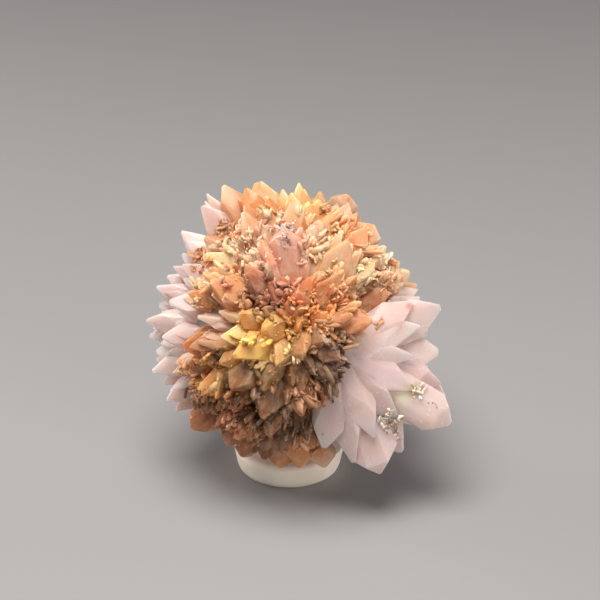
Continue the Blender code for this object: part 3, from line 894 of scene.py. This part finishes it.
def skin_spots(mesh, count, chosen, seed):
    """Seeded places on a mesh, spread by area, kept where chosen(spot, chance) says so."""
    mesh.calc_loop_triangles()
    corners = np.array([[mesh.vertices[i].co for i in t.vertices] for t in mesh.loop_triangles])
    across = np.cross(corners[:, 1] - corners[:, 0], corners[:, 2] - corners[:, 0])
    area = np.linalg.norm(across, axis=1)
    dice = np.random.default_rng(seed)
    picked = dice.choice(len(area), size=count, p=area / area.sum())
    blend = dice.random((count, 2))
    blend[blend.sum(axis=1) > 1] = 1 - blend[blend.sum(axis=1) > 1]
    places = (
        corners[picked, 0]
        + blend[:, :1] * (corners[picked, 1] - corners[picked, 0])
        + blend[:, 1:] * (corners[picked, 2] - corners[picked, 0])
    )
    chance = random.Random(seed)
    spots = []
    for place, normal in zip(places, across[picked] / area[picked, None]):
        spot = Spot(Vector(place), Vector(normal), (Vector(place) - HEART).normalized())
        if chosen(spot, chance):
            spots.append(spot)
    return spots


# %% Where the big crystals stay bare
BARE_SHARE = 0.42  # how much of a big crystal's width its bare tip takes, on either side
bare_tips = [
    (heading(blade.clock, blade.lean), BARE_SHARE * blade.width / blade.reach)
    for group in (CROWN, FACE)
    for blade in group
    if blade.width > (3.2 if group is CROWN else 5.0)
]


def is_bare(out):
    """Whether a direction is on the tip of a big crystal that the younger ones left free."""
    return any((out - tip).length < share for tip, share in bare_tips)


print(len(bare_tips), "big tips stay bare")

# %% A stock of small crystals
STOCK_SIZE = 36
STOCK_SEED = 5
STOCK_LENGTH = 3.0  # in widths

Stock = namedtuple("Stock", "points faces root")


def crystal_stock():
    """Unit crystals to repeat, 1 mm wide, with their tip at the origin and their body below it."""
    chance = random.Random(STOCK_SEED)
    stock = []
    for _ in range(STOCK_SIZE):
        flat = chance.uniform(0.5, 1.0)
        bm = prism(Blade(0, 0, 0, 1, flat, 0, chance.uniform(44, 66)), STOCK_LENGTH * MM, 6, chance)
        top = max(v.co.z for v in bm.verts)
        bmesh.ops.translate(bm, verts=bm.verts, vec=(0, 0, -top))
        bm.verts.index_update()
        points = np.array([v.co[:] for v in bm.verts])
        root = points[:, 2] < points[:, 2].min() + 1e-6
        stock.append(Stock(points, [[v.index for v in f.verts] for f in bm.faces], root))
        bm.free()
    return stock


def repeated(name, kinds):
    """One mesh of many copies. A kind is a shape's faces, its copies' corners and their colours."""
    corners, sizes, points, shown = [], [], [], []
    first = 0
    for faces, placed, colours in kinds:
        copies, count = placed.shape[:2]
        flat = np.concatenate([np.array(f) for f in faces])
        corners.append((flat + first + count * np.arange(copies)[:, None]).ravel())
        sizes.append(np.tile([len(f) for f in faces], copies))
        points.append(placed.reshape(-1, 3))
        shown.append(np.repeat(colours, len(faces), axis=0))
        first += copies * count
    corners, sizes, points, shown = [np.concatenate(x) for x in (corners, sizes, points, shown)]
    mesh = bpy.data.meshes.new(name)
    mesh.vertices.add(len(points))
    mesh.vertices.foreach_set("co", points.astype(np.float32).ravel())
    mesh.loops.add(len(corners))
    mesh.loops.foreach_set("vertex_index", corners.astype(np.int32))
    mesh.polygons.add(len(sizes))
    starts = np.concatenate([[0], np.cumsum(sizes)[:-1]])
    mesh.polygons.foreach_set("loop_start", starts.astype(np.int32))
    mesh.update(calc_edges=True)
    tint = mesh.attributes.new("tint", "FLOAT_COLOR", "FACE")
    opaque = np.concatenate([shown, np.ones((len(shown), 1))], axis=1)
    tint.data.foreach_set("color", opaque.astype(np.float32).ravel())
    mesh.validate()
    obj = bpy.data.objects.new(name, mesh)
    bpy.context.scene.collection.objects.link(obj)
    return obj


Young = namedtuple("Young", "shape tip turned width length colour")


def repeated_stock(name, young):
    """One mesh of young crystals, each a stock shape that is sized, drawn out, turned and moved."""
    kinds = []
    for number, shape in enumerate(stock):
        mine = [crystal for crystal in young if crystal.shape == number]
        placed = shape.points * np.array([crystal.width for crystal in mine])[:, None, None]
        placed[:, shape.root, 2] = -np.array([crystal.length for crystal in mine])[:, None]
        turns = np.array([crystal.turned for crystal in mine])
        tips = np.array([crystal.tip for crystal in mine])
        placed = np.einsum("nij,nvj->nvi", turns, placed) + tips[:, None, :]
        kinds.append((shape.faces, placed, np.array([crystal.colour for crystal in mine])))
    return repeated(name, kinds)


stock = crystal_stock()
print(len(stock), "small crystals in stock")

# %% The younger crystals of the crust
PAD_RADIUS = 7.0 * MM
PAD_LONGER = 1.06
PAD_HEIGHT = 3.2 * MM
PAD_GAP = 0.3 * MM
BUNCHES_TRIED = 3950
YOUNG_SEED = 11
YOUNG_ROOT = 1.0 * MM
YOUNG_OVER = 0.5 * MM  # how far past that reach a young tip may stand at the outline
SUNKEN = 16.0 * MM  # places deeper than this are always covered
BUNCH_FAN = math.tan(math.radians(30))
FACE_REACH, OUTLINE_REACH = 16.8 * MM, 15.0 * MM  # tips past these stay clean


def young_reach(clock, lean):
    """How far from the heart the younger crystals come: less near the outline than on the face."""
    share = max(0.0, min(1.0, (lean - 8) / 24))
    reach = OUTLINE_REACH + (FACE_REACH - OUTLINE_REACH) * share
    return reach - NOTCH_DEPTH if in_notch(clock, lean) else reach


def is_clean(spot, chance):
    """Whether a place is far enough out on a free tip for the younger crystals to have missed it."""
    reach = young_reach(*clock_and_lean(spot.out))
    return (spot.place - HEART).length > reach + chance.gauss(0, 0.35) * MM


def over_putty(root):
    """Whether a root would stick in the putty."""
    return root.z < PAD_HEIGHT + PAD_GAP and math.hypot(root.x, root.y) < PAD_LONGER * PAD_RADIUS


def wants_bunch(spot, chance):
    patches = 0.5 + 1.2 * noise(spot.out * 5.5 + Vector((3, 1, 7)))
    sunken = (SUNKEN - (spot.place - HEART).length) / MM
    return chance.random() < rustiness(spot.out) ** 2 * max(patches, sunken) and not is_bare(spot.out)


def grow_bunches(spots, chance):
    """Sheaves of slender pointed crystals, each sheaf from one root just under the skin."""
    grown = []
    for spot in spots:
        if is_clean(spot, chance):
            continue
        wild = Vector([chance.gauss(0, 0.25) for _ in range(3)])
        along = growing_way(spot.place, "crust")
        middle = (0.55 * spot.normal + 1.0 * along + wild).normalized()
        colour = stained(spot.out, chance)
        size = chance.triangular(0.26, 1.3, 0.5) * (0.4 + 0.6 * rustiness(spot.out))
        for _ in range(chance.randint(3, 7)):
            fan = Vector([chance.gauss(0, 0.6) for _ in range(3)]) * BUNCH_FAN
            axis = (middle + fan).normalized()
            width = size * chance.uniform(0.6, 1.15)
            rise = min(width * chance.triangular(0.4, 2.6, 0.9), 1.8) * MM
            turned = turned_to(axis, chance.uniform(0, 180))
            pale = 0.4 * min(1.0, 2.5 * colour.x) * chance.random() ** 4
            shade = colour.lerp(CREAM_WHITE, pale) * chance.uniform(0.95, 1.28)
            shape = chance.randrange(STOCK_SIZE)
            beside = Vector([chance.gauss(0, 0.4) for _ in range(3)]) * size * MM
            tip = spot.place + beside + axis * rise
            place = clock_and_lean((tip - HEART).normalized())
            too_far = (tip - HEART).length - young_reach(*place) - YOUNG_OVER
            if place[1] < 34 and too_far > 0:
                tip -= axis * too_far
                rise -= too_far
            length = max(rise + YOUNG_ROOT, 2.2 * width * MM)
            if not over_putty(tip - axis * length):
                grown.append(Young(shape, tip, turned, width, length, shade))
    return grown


# %% [markdown]
# A few stained tufts sit apart from the crust: pale olive rosettes on the right-hand blades, gold
# ones at the edge of the left spray, a white and grey knob near the top, and small dark specks.
# Each is placed by how far across and up from the heart it is seen, and it takes nearby places on
# the skin that face the viewer.

# %% Tufts on the clean sprays
Tuft = namedtuple("Tuft", "across up spread colour pale size count")  # places and sizes in mm
TUFTS = [
    Tuft(11.4, -11.4, 1.7, PALE_OLIVE, 1.0, 0.5, 130),
    Tuft(11.0, -12.2, 0.8, OLIVE, 0.6, 0.3, 24),
    Tuft(14.4, -7.6, 0.9, PALE_OLIVE, 1.0, 0.45, 36),
    Tuft(16.2, -9.2, 0.5, BROWN, 0.3, 0.2, 16),
    Tuft(9.5, 0.7, 0.7, TAN, 0.5, 0.4, 30),
    Tuft(-1.7, 11.5, 1.3, CLEAN_WHITE, 0.5, 0.42, 110),
    Tuft(-1.1, 10.2, 0.8, GREY, 0.4, 0.3, 50),
    Tuft(11.5, 6.9, 1.2, GOLD, 0.4, 0.45, 60),
    Tuft(9.9, 6.9, 0.5, BROWN, 0.1, 0.36, 24),
    Tuft(-8.3, 11.8, 1.5, HONEY, 0.4, 0.5, 130),
    Tuft(-9.6, 11.6, 0.5, GOLD_BROWN, 0.3, 0.4, 30),
    Tuft(5.4, -2.2, 0.5, DARK_BROWN, 0.0, 0.4, 40),
    Tuft(4.8, -5.3, 0.5, DARK_BROWN, 0.0, 0.36, 30),
    Tuft(3.8, -8.0, 0.5, DARK_BROWN, 0.0, 0.36, 30),
    Tuft(-11.6, 8.0, 1.5, GOLD, 0.4, 0.5, 110),
    Tuft(-12.8, -5.7, 1.5, GOLD, 0.4, 0.5, 130),
    Tuft(-12.5, -8.5, 1.4, GOLD_BROWN, 0.3, 0.5, 100),
]
TUFT_TRIED = 30000


def faces_viewer(spot, chance):
    return spot.normal.dot(FORWARD) > 0.3


def near_tuft(tuft, spot):
    """Whether a place on the skin lies under a tuft, as seen by the viewer."""
    out = (spot.place - HEART) / MM
    aside = math.hypot(out.dot(RIGHT) - tuft.across, out.dot(UP) - tuft.up)
    return out.dot(FORWARD) > 0 and aside < tuft.spread


def grow_tufts(mesh, chance):
    """Small rosettes of stained crystals that sit apart, most of them on the clean sprays."""
    places = skin_spots(mesh, TUFT_TRIED, faces_viewer, TUFT_TRIED)
    grown = []
    for tuft in TUFTS:
        near = sorted((s for s in places if near_tuft(tuft, s)), key=lambda s: -s.place.dot(FORWARD))
        near = near[: max(4, 2 * len(near) // 3)]
        for _ in range(tuft.count):
            spot = chance.choice(near)
            axis = (spot.normal + Vector([chance.gauss(0, 0.5) for _ in range(3)])).normalized()
            width = tuft.size * chance.uniform(0.5, 1.2)
            rise = width * chance.uniform(0.3, 1.3) * MM
            beside = Vector([chance.gauss(0, 0.2) for _ in range(3)]) * MM
            colour = tuft.colour.lerp(CLEAN_WHITE, tuft.pale * chance.random()) * chance.uniform(0.8, 1.15)
            turned = turned_to(axis, chance.uniform(0, 180))
            tip = spot.place + beside + axis * rise
            grown.append(Young(chance.randrange(STOCK_SIZE), tip, turned, width, rise + MM, colour))
    return grown


young_spots = skin_spots(cluster.data, BUNCHES_TRIED, wants_bunch, YOUNG_SEED)
young = grow_bunches(young_spots, random.Random(YOUNG_SEED))
young += grow_tufts(cluster.data, random.Random(YOUNG_SEED + 1))
crust = repeated_stock("young_crystals", young)
print(len(young), "young crystals,", len(crust.data.polygons), "faces")

# %% [markdown]
# The putty was pressed up round the lowest crystals. It is a soft disc, turned from one outline and
# dented by hand, so its rim is uneven.

# %% The putty pad
PAD_FLARE = 0.3 * MM
PAD_SOFT = 0.8 * MM
PAD_DENT = 0.12 * MM


def pad_outline(grow):
    """The putty pad's half outline from the axis, bottom to top, grown by a gap."""
    low = (PAD_RADIUS - PAD_FLARE - PAD_SOFT, PAD_SOFT)
    high = (PAD_RADIUS - PAD_SOFT, PAD_HEIGHT - PAD_SOFT)
    points = [(0.0, -grow)]
    for (x, z), start in ((low, -90), (high, 0)):
        for turn in range(0, 91, 15):
            turn = math.radians(start + turn)
            round_edge = PAD_SOFT + grow
            points.append((x + round_edge * math.cos(turn), z + round_edge * math.sin(turn)))
    points.append((0.0, PAD_HEIGHT + grow))
    return points


def pad_shape(grow, steps):
    """The pad's outline spun round Z into a closed solid, then drawn out a little along Y."""
    bm = bmesh.new()
    verts = [bm.verts.new((x, 0, z)) for x, z in pad_outline(grow)]
    edges = [bm.edges.new(pair) for pair in zip(verts, verts[1:])]
    bmesh.ops.spin(
        bm,
        geom=verts + edges,
        cent=(0, 0, 0),
        axis=(0, 0, 1),
        angle=2 * math.pi,
        steps=steps,
        use_merge=True,
    )
    bmesh.ops.remove_doubles(bm, verts=bm.verts, dist=1e-6)
    bmesh.ops.recalc_face_normals(bm, faces=bm.faces)
    bmesh.ops.scale(bm, verts=bm.verts, vec=(1, PAD_LONGER, 1))
    return bm


def build_putty():
    bm = pad_shape(0.0, 96)
    for v in bm.verts:
        if 0.2 * MM < v.co.z:
            dent = noise(v.co * 260) * PAD_DENT
            v.co += Vector((v.co.x, v.co.y, 0)).normalized() * (dent - PAD_DENT)
    putty = new_object("mounting_putty", bm)
    putty.data.shade_smooth()
    return putty


putty = build_putty()
print("the putty has", len(putty.data.polygons), "faces")

# %% The grip of the putty
GRIP_OVERLAP = 0.3 * MM  # how far the crystals are sunk in the putty


def sink_into_putty(body):
    """Takes the crystals out of the putty, all but the depth that they are sunk in."""
    batch = new_collection("grip")
    grip = new_object("grip", pad_shape(-GRIP_OVERLAP, 48))
    bpy.context.scene.collection.objects.unlink(grip)
    batch.objects.link(grip)
    join(body, batch, "DIFFERENCE")


def keep_outer_skin(mesh):
    """Drops every skin but the outer one, so that no gap is shut in between the crystals."""
    bm = bmesh.new()
    bm.from_mesh(mesh)
    unseen = set(bm.verts)
    skins = []
    while unseen:
        skin = [unseen.pop()]
        for v in skin:
            beside = {e.other_vert(v) for e in v.link_edges} & unseen
            unseen -= beside
            skin.extend(beside)
        skins.append(skin)
    skins.sort(key=len)
    inner = [v for skin in skins[:-1] for v in skin]
    bmesh.ops.delete(bm, geom=inner, context="VERTS")
    bm.to_mesh(mesh)
    bm.free()
    return len(skins) - 1


sink_into_putty(cluster)
print("inner skins dropped:", keep_outer_skin(cluster.data))
cluster.data.shade_smooth()
cluster.data.set_sharp_from_angle(angle=math.radians(28))

# %% [markdown]
# The druse is thousands of pointed grains. A grain is a short prism of five sides with a
# point. One grain is made with bmesh, and its corners are repeated with numpy at each
# place, turned and sized, into one joined mesh. Each grain takes the stain of its place.

# %% One grain of druse
def grain_shape(sides, point):
    """A closed pointed prism, one unit wide, that stands on its root at the origin."""
    bm = bmesh.new()
    bmesh.ops.create_circle(bm, cap_ends=True, segments=sides, radius=0.5)
    shaft = bmesh.ops.extrude_face_region(bm, geom=bm.faces[:])
    end = [v for v in shaft["geom"] if isinstance(v, bmesh.types.BMVert)]
    bmesh.ops.translate(bm, verts=end, vec=(0, 0, 1 - point))
    top = bmesh.ops.poke(bm, faces=[f for f in bm.faces if all(v in end for v in f.verts)])
    bmesh.ops.translate(bm, verts=top["verts"], vec=(0, 0, point))
    bmesh.ops.recalc_face_normals(bm, faces=bm.faces)
    bm.verts.index_update()
    points = np.array([v.co[:] for v in bm.verts])
    faces = [[v.index for v in f.verts] for f in bm.faces]
    bm.free()
    return points, faces


# %% The druse on the crust
DRUSE_TRIED = 13000
DRUSE_SEED = 23
DRUSE_WIDTH = (0.14, 0.4)


def wants_druse(spot, chance):
    clumps = 0.4 + 1.1 * noise(spot.out * 9.0)
    return chance.random() < rustiness(spot.out) * clumps and not is_bare(spot.out)


def scatter_druse(name, shape, spots, seed):
    """One mesh of grains, each turned and sized at its place."""
    chance = random.Random(seed)
    places, turns, sizes, colours = [], [], [], []
    for spot in spots:
        if is_clean(spot, chance):
            continue
        wild = Vector([chance.gauss(0, 0.5) for _ in range(3)])
        axis = (spot.normal + 0.3 * spot.out + wild).normalized()
        spun = Matrix.Rotation(chance.uniform(0, math.pi), 3, "Z")
        width = chance.uniform(*DRUSE_WIDTH)
        length = width * chance.uniform(1.0, 2.2)
        places.append(spot.place - axis * 0.35 * length * MM)
        turns.append(axis.to_track_quat("Z", "Y").to_matrix() @ spun)
        sizes.append((width * MM, width * chance.uniform(0.5, 1.0) * MM, length * MM))
        colours.append(stained(spot.out, chance) * chance.uniform(0.8, 1.25))
    places, turns, sizes, colours = [np.array(x) for x in (places, turns, sizes, colours)]
    points, faces = shape
    placed = np.einsum("nij,nvj->nvi", turns, points * sizes[:, None, :]) + places[:, None, :]
    return repeated(name, [(faces, placed, colours)])


druse_spots = skin_spots(cluster.data, DRUSE_TRIED, wants_druse, DRUSE_SEED)
druse_spots += skin_spots(crust.data, DRUSE_TRIED, wants_druse, DRUSE_SEED + 1)
druse = scatter_druse("druse_grains", grain_shape(5, 0.4), druse_spots, DRUSE_SEED)
print(len(druse_spots), "grains of druse,", len(druse.data.polygons), "faces")

# %% [markdown]
# All the crystals share three effects, so each is a node group. Growth depth tells how far a point
# is from the heart, 0 where crystals part and 1 at their tips. Growth lines are the fine
# striations that run along a crystal: a noise read from the direction alone, so it stretches from
# the heart outwards. Clouds are the milky veils inside.

# %% Node helpers
def socket(tree, name, kind, side, value=None):
    made = tree.interface.new_socket(name=name, in_out=side, socket_type=kind)
    if value is not None:
        made.default_value = value


def add(tree, kind, **settings):
    """A new node with its settings."""
    made = tree.nodes.new(kind)
    for key, value in settings.items():
        setattr(made, key, value)
    return made


def wire(tree, source, target):
    tree.links.new(source, target)


def from_heart(tree):
    """The vector from the heart to the point being shaded."""
    place = add(tree, "ShaderNodeTexCoord")
    out = add(tree, "ShaderNodeVectorMath", operation="SUBTRACT")
    out.inputs[1].default_value = HEART
    wire(tree, place.outputs["Object"], out.inputs[0])
    return out.outputs["Vector"]


# %% Growth depth
def growth_depth_group():
    tree = bpy.data.node_groups.new("growth_depth", "ShaderNodeTree")
    socket(tree, "Root", "NodeSocketFloat", "INPUT", 14.0)
    socket(tree, "Tip", "NodeSocketFloat", "INPUT", 18.0)
    socket(tree, "Depth", "NodeSocketFloat", "OUTPUT")
    given, result = add(tree, "NodeGroupInput"), add(tree, "NodeGroupOutput")
    length = add(tree, "ShaderNodeVectorMath", operation="LENGTH")
    wire(tree, from_heart(tree), length.inputs[0])
    in_mm = add(tree, "ShaderNodeMath", operation="MULTIPLY")
    in_mm.inputs[1].default_value = 1 / MM
    wire(tree, length.outputs["Value"], in_mm.inputs[0])
    ranged = add(tree, "ShaderNodeMapRange", interpolation_type="SMOOTHSTEP")
    wire(tree, in_mm.outputs[0], ranged.inputs["Value"])
    wire(tree, given.outputs["Root"], ranged.inputs["From Min"])
    wire(tree, given.outputs["Tip"], ranged.inputs["From Max"])
    wire(tree, ranged.outputs["Result"], result.inputs["Depth"])
    return tree


# %% Growth lines
def growth_lines_group():
    tree = bpy.data.node_groups.new("growth_lines", "ShaderNodeTree")
    socket(tree, "Fineness", "NodeSocketFloat", "INPUT", 70.0)
    socket(tree, "Lines", "NodeSocketFloat", "OUTPUT")
    given, result = add(tree, "NodeGroupInput"), add(tree, "NodeGroupOutput")
    out = from_heart(tree)
    forward = add(tree, "ShaderNodeVectorMath", operation="DOT_PRODUCT")
    forward.inputs[1].default_value = FORWARD * 0.7
    wire(tree, out, forward.inputs[0])
    spine = add(tree, "ShaderNodeVectorMath", operation="SCALE")
    spine.inputs[0].default_value = FORWARD
    wire(tree, forward.outputs["Value"], spine.inputs["Scale"])
    along = add(tree, "ShaderNodeVectorMath", operation="SUBTRACT")
    wire(tree, out, along.inputs[0])
    wire(tree, spine.outputs["Vector"], along.inputs[1])
    direction = add(tree, "ShaderNodeVectorMath", operation="NORMALIZE")
    wire(tree, along.outputs["Vector"], direction.inputs[0])
    slow = add(tree, "ShaderNodeVectorMath", operation="SCALE")
    slow.inputs["Scale"].default_value = 20.0
    wire(tree, out, slow.inputs[0])
    both = add(tree, "ShaderNodeVectorMath", operation="ADD")
    wire(tree, direction.outputs["Vector"], both.inputs[0])
    wire(tree, slow.outputs["Vector"], both.inputs[1])
    streaks = add(tree, "ShaderNodeTexNoise")
    streaks.inputs["Detail"].default_value = 3.0
    wire(tree, both.outputs["Vector"], streaks.inputs["Vector"])
    wire(tree, given.outputs["Fineness"], streaks.inputs["Scale"])
    wire(tree, streaks.outputs["Fac"], result.inputs["Lines"])
    return tree


# %% Clouds
def clouds_group():
    tree = bpy.data.node_groups.new("clouds", "ShaderNodeTree")
    socket(tree, "Per Metre", "NodeSocketFloat", "INPUT", 500.0)
    socket(tree, "From", "NodeSocketFloat", "INPUT", 0.4)
    socket(tree, "To", "NodeSocketFloat", "INPUT", 0.65)
    socket(tree, "Cloud", "NodeSocketFloat", "OUTPUT")
    given, result = add(tree, "NodeGroupInput"), add(tree, "NodeGroupOutput")
    puffs = add(tree, "ShaderNodeTexNoise")
    puffs.inputs["Detail"].default_value = 4.0
    wire(tree, from_heart(tree), puffs.inputs["Vector"])
    wire(tree, given.outputs["Per Metre"], puffs.inputs["Scale"])
    ranged = add(tree, "ShaderNodeMapRange", interpolation_type="SMOOTHSTEP")
    wire(tree, puffs.outputs["Fac"], ranged.inputs["Value"])
    wire(tree, given.outputs["From"], ranged.inputs["From Min"])
    wire(tree, given.outputs["To"], ranged.inputs["From Max"])
    wire(tree, ranged.outputs["Result"], result.inputs["Cloud"])
    return tree


# %% A spot inside a crystal
def inner_spot_group():
    """1 at a place given across and up from the heart, in mm, as seen from the front."""
    tree = bpy.data.node_groups.new("inner_spot", "ShaderNodeTree")
    socket(tree, "Across", "NodeSocketFloat", "INPUT", 0.0)
    socket(tree, "Up", "NodeSocketFloat", "INPUT", 0.0)
    socket(tree, "Reach", "NodeSocketFloat", "INPUT", 0.5)
    socket(tree, "Spot", "NodeSocketFloat", "OUTPUT")
    given, result = add(tree, "NodeGroupInput"), add(tree, "NodeGroupOutput")
    out = from_heart(tree)
    squares = []
    for name, way in (("Across", RIGHT), ("Up", UP)):
        along = add(tree, "ShaderNodeVectorMath", operation="DOT_PRODUCT")
        along.inputs[1].default_value = way / MM
        wire(tree, out, along.inputs[0])
        aside = add(tree, "ShaderNodeMath", operation="SUBTRACT")
        wire(tree, along.outputs["Value"], aside.inputs[0])
        wire(tree, given.outputs[name], aside.inputs[1])
        square = add(tree, "ShaderNodeMath", operation="MULTIPLY")
        wire(tree, aside.outputs[0], square.inputs[0])
        wire(tree, aside.outputs[0], square.inputs[1])
        squares.append(square.outputs[0])
    both = add(tree, "ShaderNodeMath", operation="ADD")
    wire(tree, squares[0], both.inputs[0])
    wire(tree, squares[1], both.inputs[1])
    distance = add(tree, "ShaderNodeMath", operation="SQRT")
    wire(tree, both.outputs[0], distance.inputs[0])
    ranged = add(tree, "ShaderNodeMapRange", interpolation_type="SMOOTHSTEP")
    wire(tree, distance.outputs[0], ranged.inputs["Value"])
    wire(tree, given.outputs["Reach"], ranged.inputs["From Min"])
    ranged.inputs["From Max"].default_value = 0.0
    forward = add(tree, "ShaderNodeVectorMath", operation="DOT_PRODUCT")
    forward.inputs[1].default_value = FORWARD
    wire(tree, out, forward.inputs[0])
    in_front = add(tree, "ShaderNodeMath", operation="GREATER_THAN")
    in_front.inputs[1].default_value = 0.0
    wire(tree, forward.outputs["Value"], in_front.inputs[0])
    front_spot = add(tree, "ShaderNodeMath", operation="MULTIPLY")
    wire(tree, ranged.outputs["Result"], front_spot.inputs[0])
    wire(tree, in_front.outputs[0], front_spot.inputs[1])
    wire(tree, front_spot.outputs[0], result.inputs["Spot"])
    return tree


GROWTH_DEPTH = growth_depth_group()
GROWTH_LINES = growth_lines_group()
CLOUDS = clouds_group()
INNER_SPOT = inner_spot_group()
print(len(bpy.data.node_groups), "node groups")


# %% Material helpers
def new_material(name):
    made = bpy.data.materials.new(name)
    made.use_nodes = True
    return made, made.node_tree, made.node_tree.nodes["Principled BSDF"]


def use_group(tree, group, **values):
    made = add(tree, "ShaderNodeGroup", node_tree=group)
    for name, value in values.items():
        made.inputs[name.replace("_", " ")].default_value = value
    return made


def blend_colours(tree, factor, first, second, mode="MIX"):
    """A colour mix. Each of first and second is a colour or a socket."""
    mixed = add(tree, "ShaderNodeMix", data_type="RGBA", blend_type=mode)
    if isinstance(factor, float):
        mixed.inputs["Factor"].default_value = factor
    else:
        wire(tree, factor, mixed.inputs["Factor"])
    for name, value in (("A", first), ("B", second)):
        target = next(s for s in mixed.inputs if s.name == name and s.type == "RGBA")
        if isinstance(value, bpy.types.NodeSocket):
            wire(tree, value, target)
        else:
            target.default_value = (*value, 1)
    return next(s for s in mixed.outputs if s.type == "RGBA")


def figure(tree, operation, first, second):
    """A math node. Each of first and second is a number or a socket."""
    made = add(tree, "ShaderNodeMath", operation=operation, use_clamp=True)
    for target, value in zip(made.inputs, (first, second)):
        if isinstance(value, bpy.types.NodeSocket):
            wire(tree, value, target)
        else:
            target.default_value = value
    return made.outputs[0]


# %% [markdown]
# The crystals themselves are milky: light enters, scatters and leaves a little further on. That is
# subsurface scattering, with a reach of about a millimetre, a share of plain transmission for the
# clearer tips, and a low index of refraction. The colour starts from each crystal's own stain. It
# is darkened towards umber where crystals part, near the heart, as painted shade, so the tips stay paler.

# %% Creedite
CREEDITE_IOR = 1.46


def creedite(made, glow, scatter_reach, clearness, grime_and_shade, veil, bump_height, spots=()):
    """A milky crystal: its stain, painted umber shade where crystals part, growth lines and soft light
    inside.
    """
    made.use_nodes = True
    tree, surface = made.node_tree, made.node_tree.nodes["Principled BSDF"]
    tint = add(tree, "ShaderNodeAttribute", attribute_name="tint", attribute_type="GEOMETRY")
    depth = use_group(tree, GROWTH_DEPTH, Root=12.8, Tip=16.6).outputs["Depth"]
    lines = use_group(tree, GROWTH_LINES, Fineness=60.0).outputs["Lines"]
    bands = use_group(tree, GROWTH_LINES, Fineness=17.0).outputs["Lines"]
    fine = use_group(tree, CLOUDS, Per_Metre=1500.0, From=0.35, To=0.7).outputs["Cloud"]
    broad = use_group(tree, CLOUDS, Per_Metre=420.0, From=0.35, To=0.65).outputs["Cloud"]
    colour = tint.outputs["Color"]
    richer = blend_colours(tree, grime_and_shade, colour, paint(255, 196, 150), "MULTIPLY")
    veined = blend_colours(tree, broad, richer, colour)
    pale = blend_colours(tree, 0.4, colour, paint(250, 230, 196))
    banded = figure(tree, "MULTIPLY_ADD", bands, 2.6)
    banded.node.inputs[2].default_value = -0.9
    streaked = blend_colours(tree, figure(tree, "MULTIPLY", banded, veil), veined, pale)
    deep = figure(tree, "MULTIPLY_ADD", lines, -2.4)
    deep.node.inputs[2].default_value = 1.2
    lined = blend_colours(tree, figure(tree, "MULTIPLY", deep, grime_and_shade), streaked, richer)
    # Painted shade: nearer the heart, where crystals part, the colour is multiplied towards umber in
    # cloudy patches.
    buried = figure(tree, "SUBTRACT", 1.0, depth)
    painted_shade_share = figure(tree, "MULTIPLY", figure(tree, "POWER", buried, 1.6), fine)
    painted_shade_colour = blend_colours(tree, grime_and_shade, lined, paint(170, 104, 60), "MULTIPLY")
    shaded = blend_colours(tree, painted_shade_share, lined, painted_shade_colour)
    for across, up, reach, spot_colour in spots:
        spot = use_group(tree, INNER_SPOT, Across=across, Up=up, Reach=reach).outputs["Spot"]
        shaded = blend_colours(tree, spot, shaded, spot_colour)
    wire(tree, shaded, surface.inputs["Base Color"])
    rough = figure(tree, "MULTIPLY_ADD", lines, 0.2)
    rough.node.inputs[2].default_value = 0.14
    wire(tree, rough, surface.inputs["Roughness"])
    bump = add(tree, "ShaderNodeBump")
    bump.inputs["Strength"].default_value = 0.35
    bump.inputs["Distance"].default_value = bump_height * MM
    wire(tree, lines, bump.inputs["Height"])
    wire(tree, bump.outputs["Normal"], surface.inputs["Normal"])
    surface.inputs["IOR"].default_value = CREEDITE_IOR
    surface.inputs["Specular IOR Level"].default_value = 0.35
    surface.inputs["Subsurface Weight"].default_value = 0.85
    surface.inputs["Subsurface Radius"].default_value = glow
    surface.inputs["Subsurface Scale"].default_value = scatter_reach * MM
    surface.inputs["Transmission Weight"].default_value = clearness


# %% Putty
def white_putty():
    made, tree, surface = new_material("white_putty")
    thumbed = use_group(tree, CLOUDS, Per_Metre=260.0, From=0.2, To=0.8).outputs["Cloud"]
    colour = blend_colours(tree, thumbed, paint(236, 222, 204), paint(246, 236, 222))
    wire(tree, colour, surface.inputs["Base Color"])
    wire(tree, figure(tree, "MULTIPLY_ADD", thumbed, 0.15), surface.inputs["Roughness"])
    surface.inputs["Roughness"].links[0].from_node.inputs[2].default_value = 0.5
    bump = add(tree, "ShaderNodeBump")
    bump.inputs["Strength"].default_value = 0.3
    bump.inputs["Distance"].default_value = 0.1 * MM
    wire(tree, thumbed, bump.inputs["Height"])
    wire(tree, bump.outputs["Normal"], surface.inputs["Normal"])
    surface.inputs["Subsurface Weight"].default_value = 0.2
    surface.inputs["Subsurface Radius"].default_value = (1.0, 0.9, 0.8)
    surface.inputs["Subsurface Scale"].default_value = 0.6 * MM
    return made


# How far across and up each spot is seen, how far it reaches, both in mm, and its colour.
INNER_SPOTS = [(13.4, 2.6, 0.7, ROSE_RED), (12.6, -8.3, 1.8, PALE_OLIVE), (14.2, -7.4, 1.2, OLIVE)]
creedite(MILKY, (1.0, 0.8, 0.75), 3.0, 0.18, 0.15, 0.2, 0.06, INNER_SPOTS)
creedite(STAINED, (1.0, 0.62, 0.42), 1.8, 0.2, 0.6, 0.6, 0.16)
YOUNG_CREEDITE = bpy.data.materials.new("young_creedite")
creedite(YOUNG_CREEDITE, (1.0, 0.88, 0.78), 0.35, 0.08, 0.3, 0.4, 0.05)
crust.data.materials.append(YOUNG_CREEDITE)
druse.data.materials.append(YOUNG_CREEDITE)
putty.data.materials.append(white_putty())
print([m.name for m in cluster.data.materials])

# %% [markdown]
# At the end every piece is tied to the imported model: it rides on the one body there is, and the
# imported solids that the pieces replace are hidden.

# %% Ties to the imported model
for piece in (cluster, crust, druse):
    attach(piece, "root")
    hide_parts("creedite_cluster")
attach(putty, "root")
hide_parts("putty_pad")
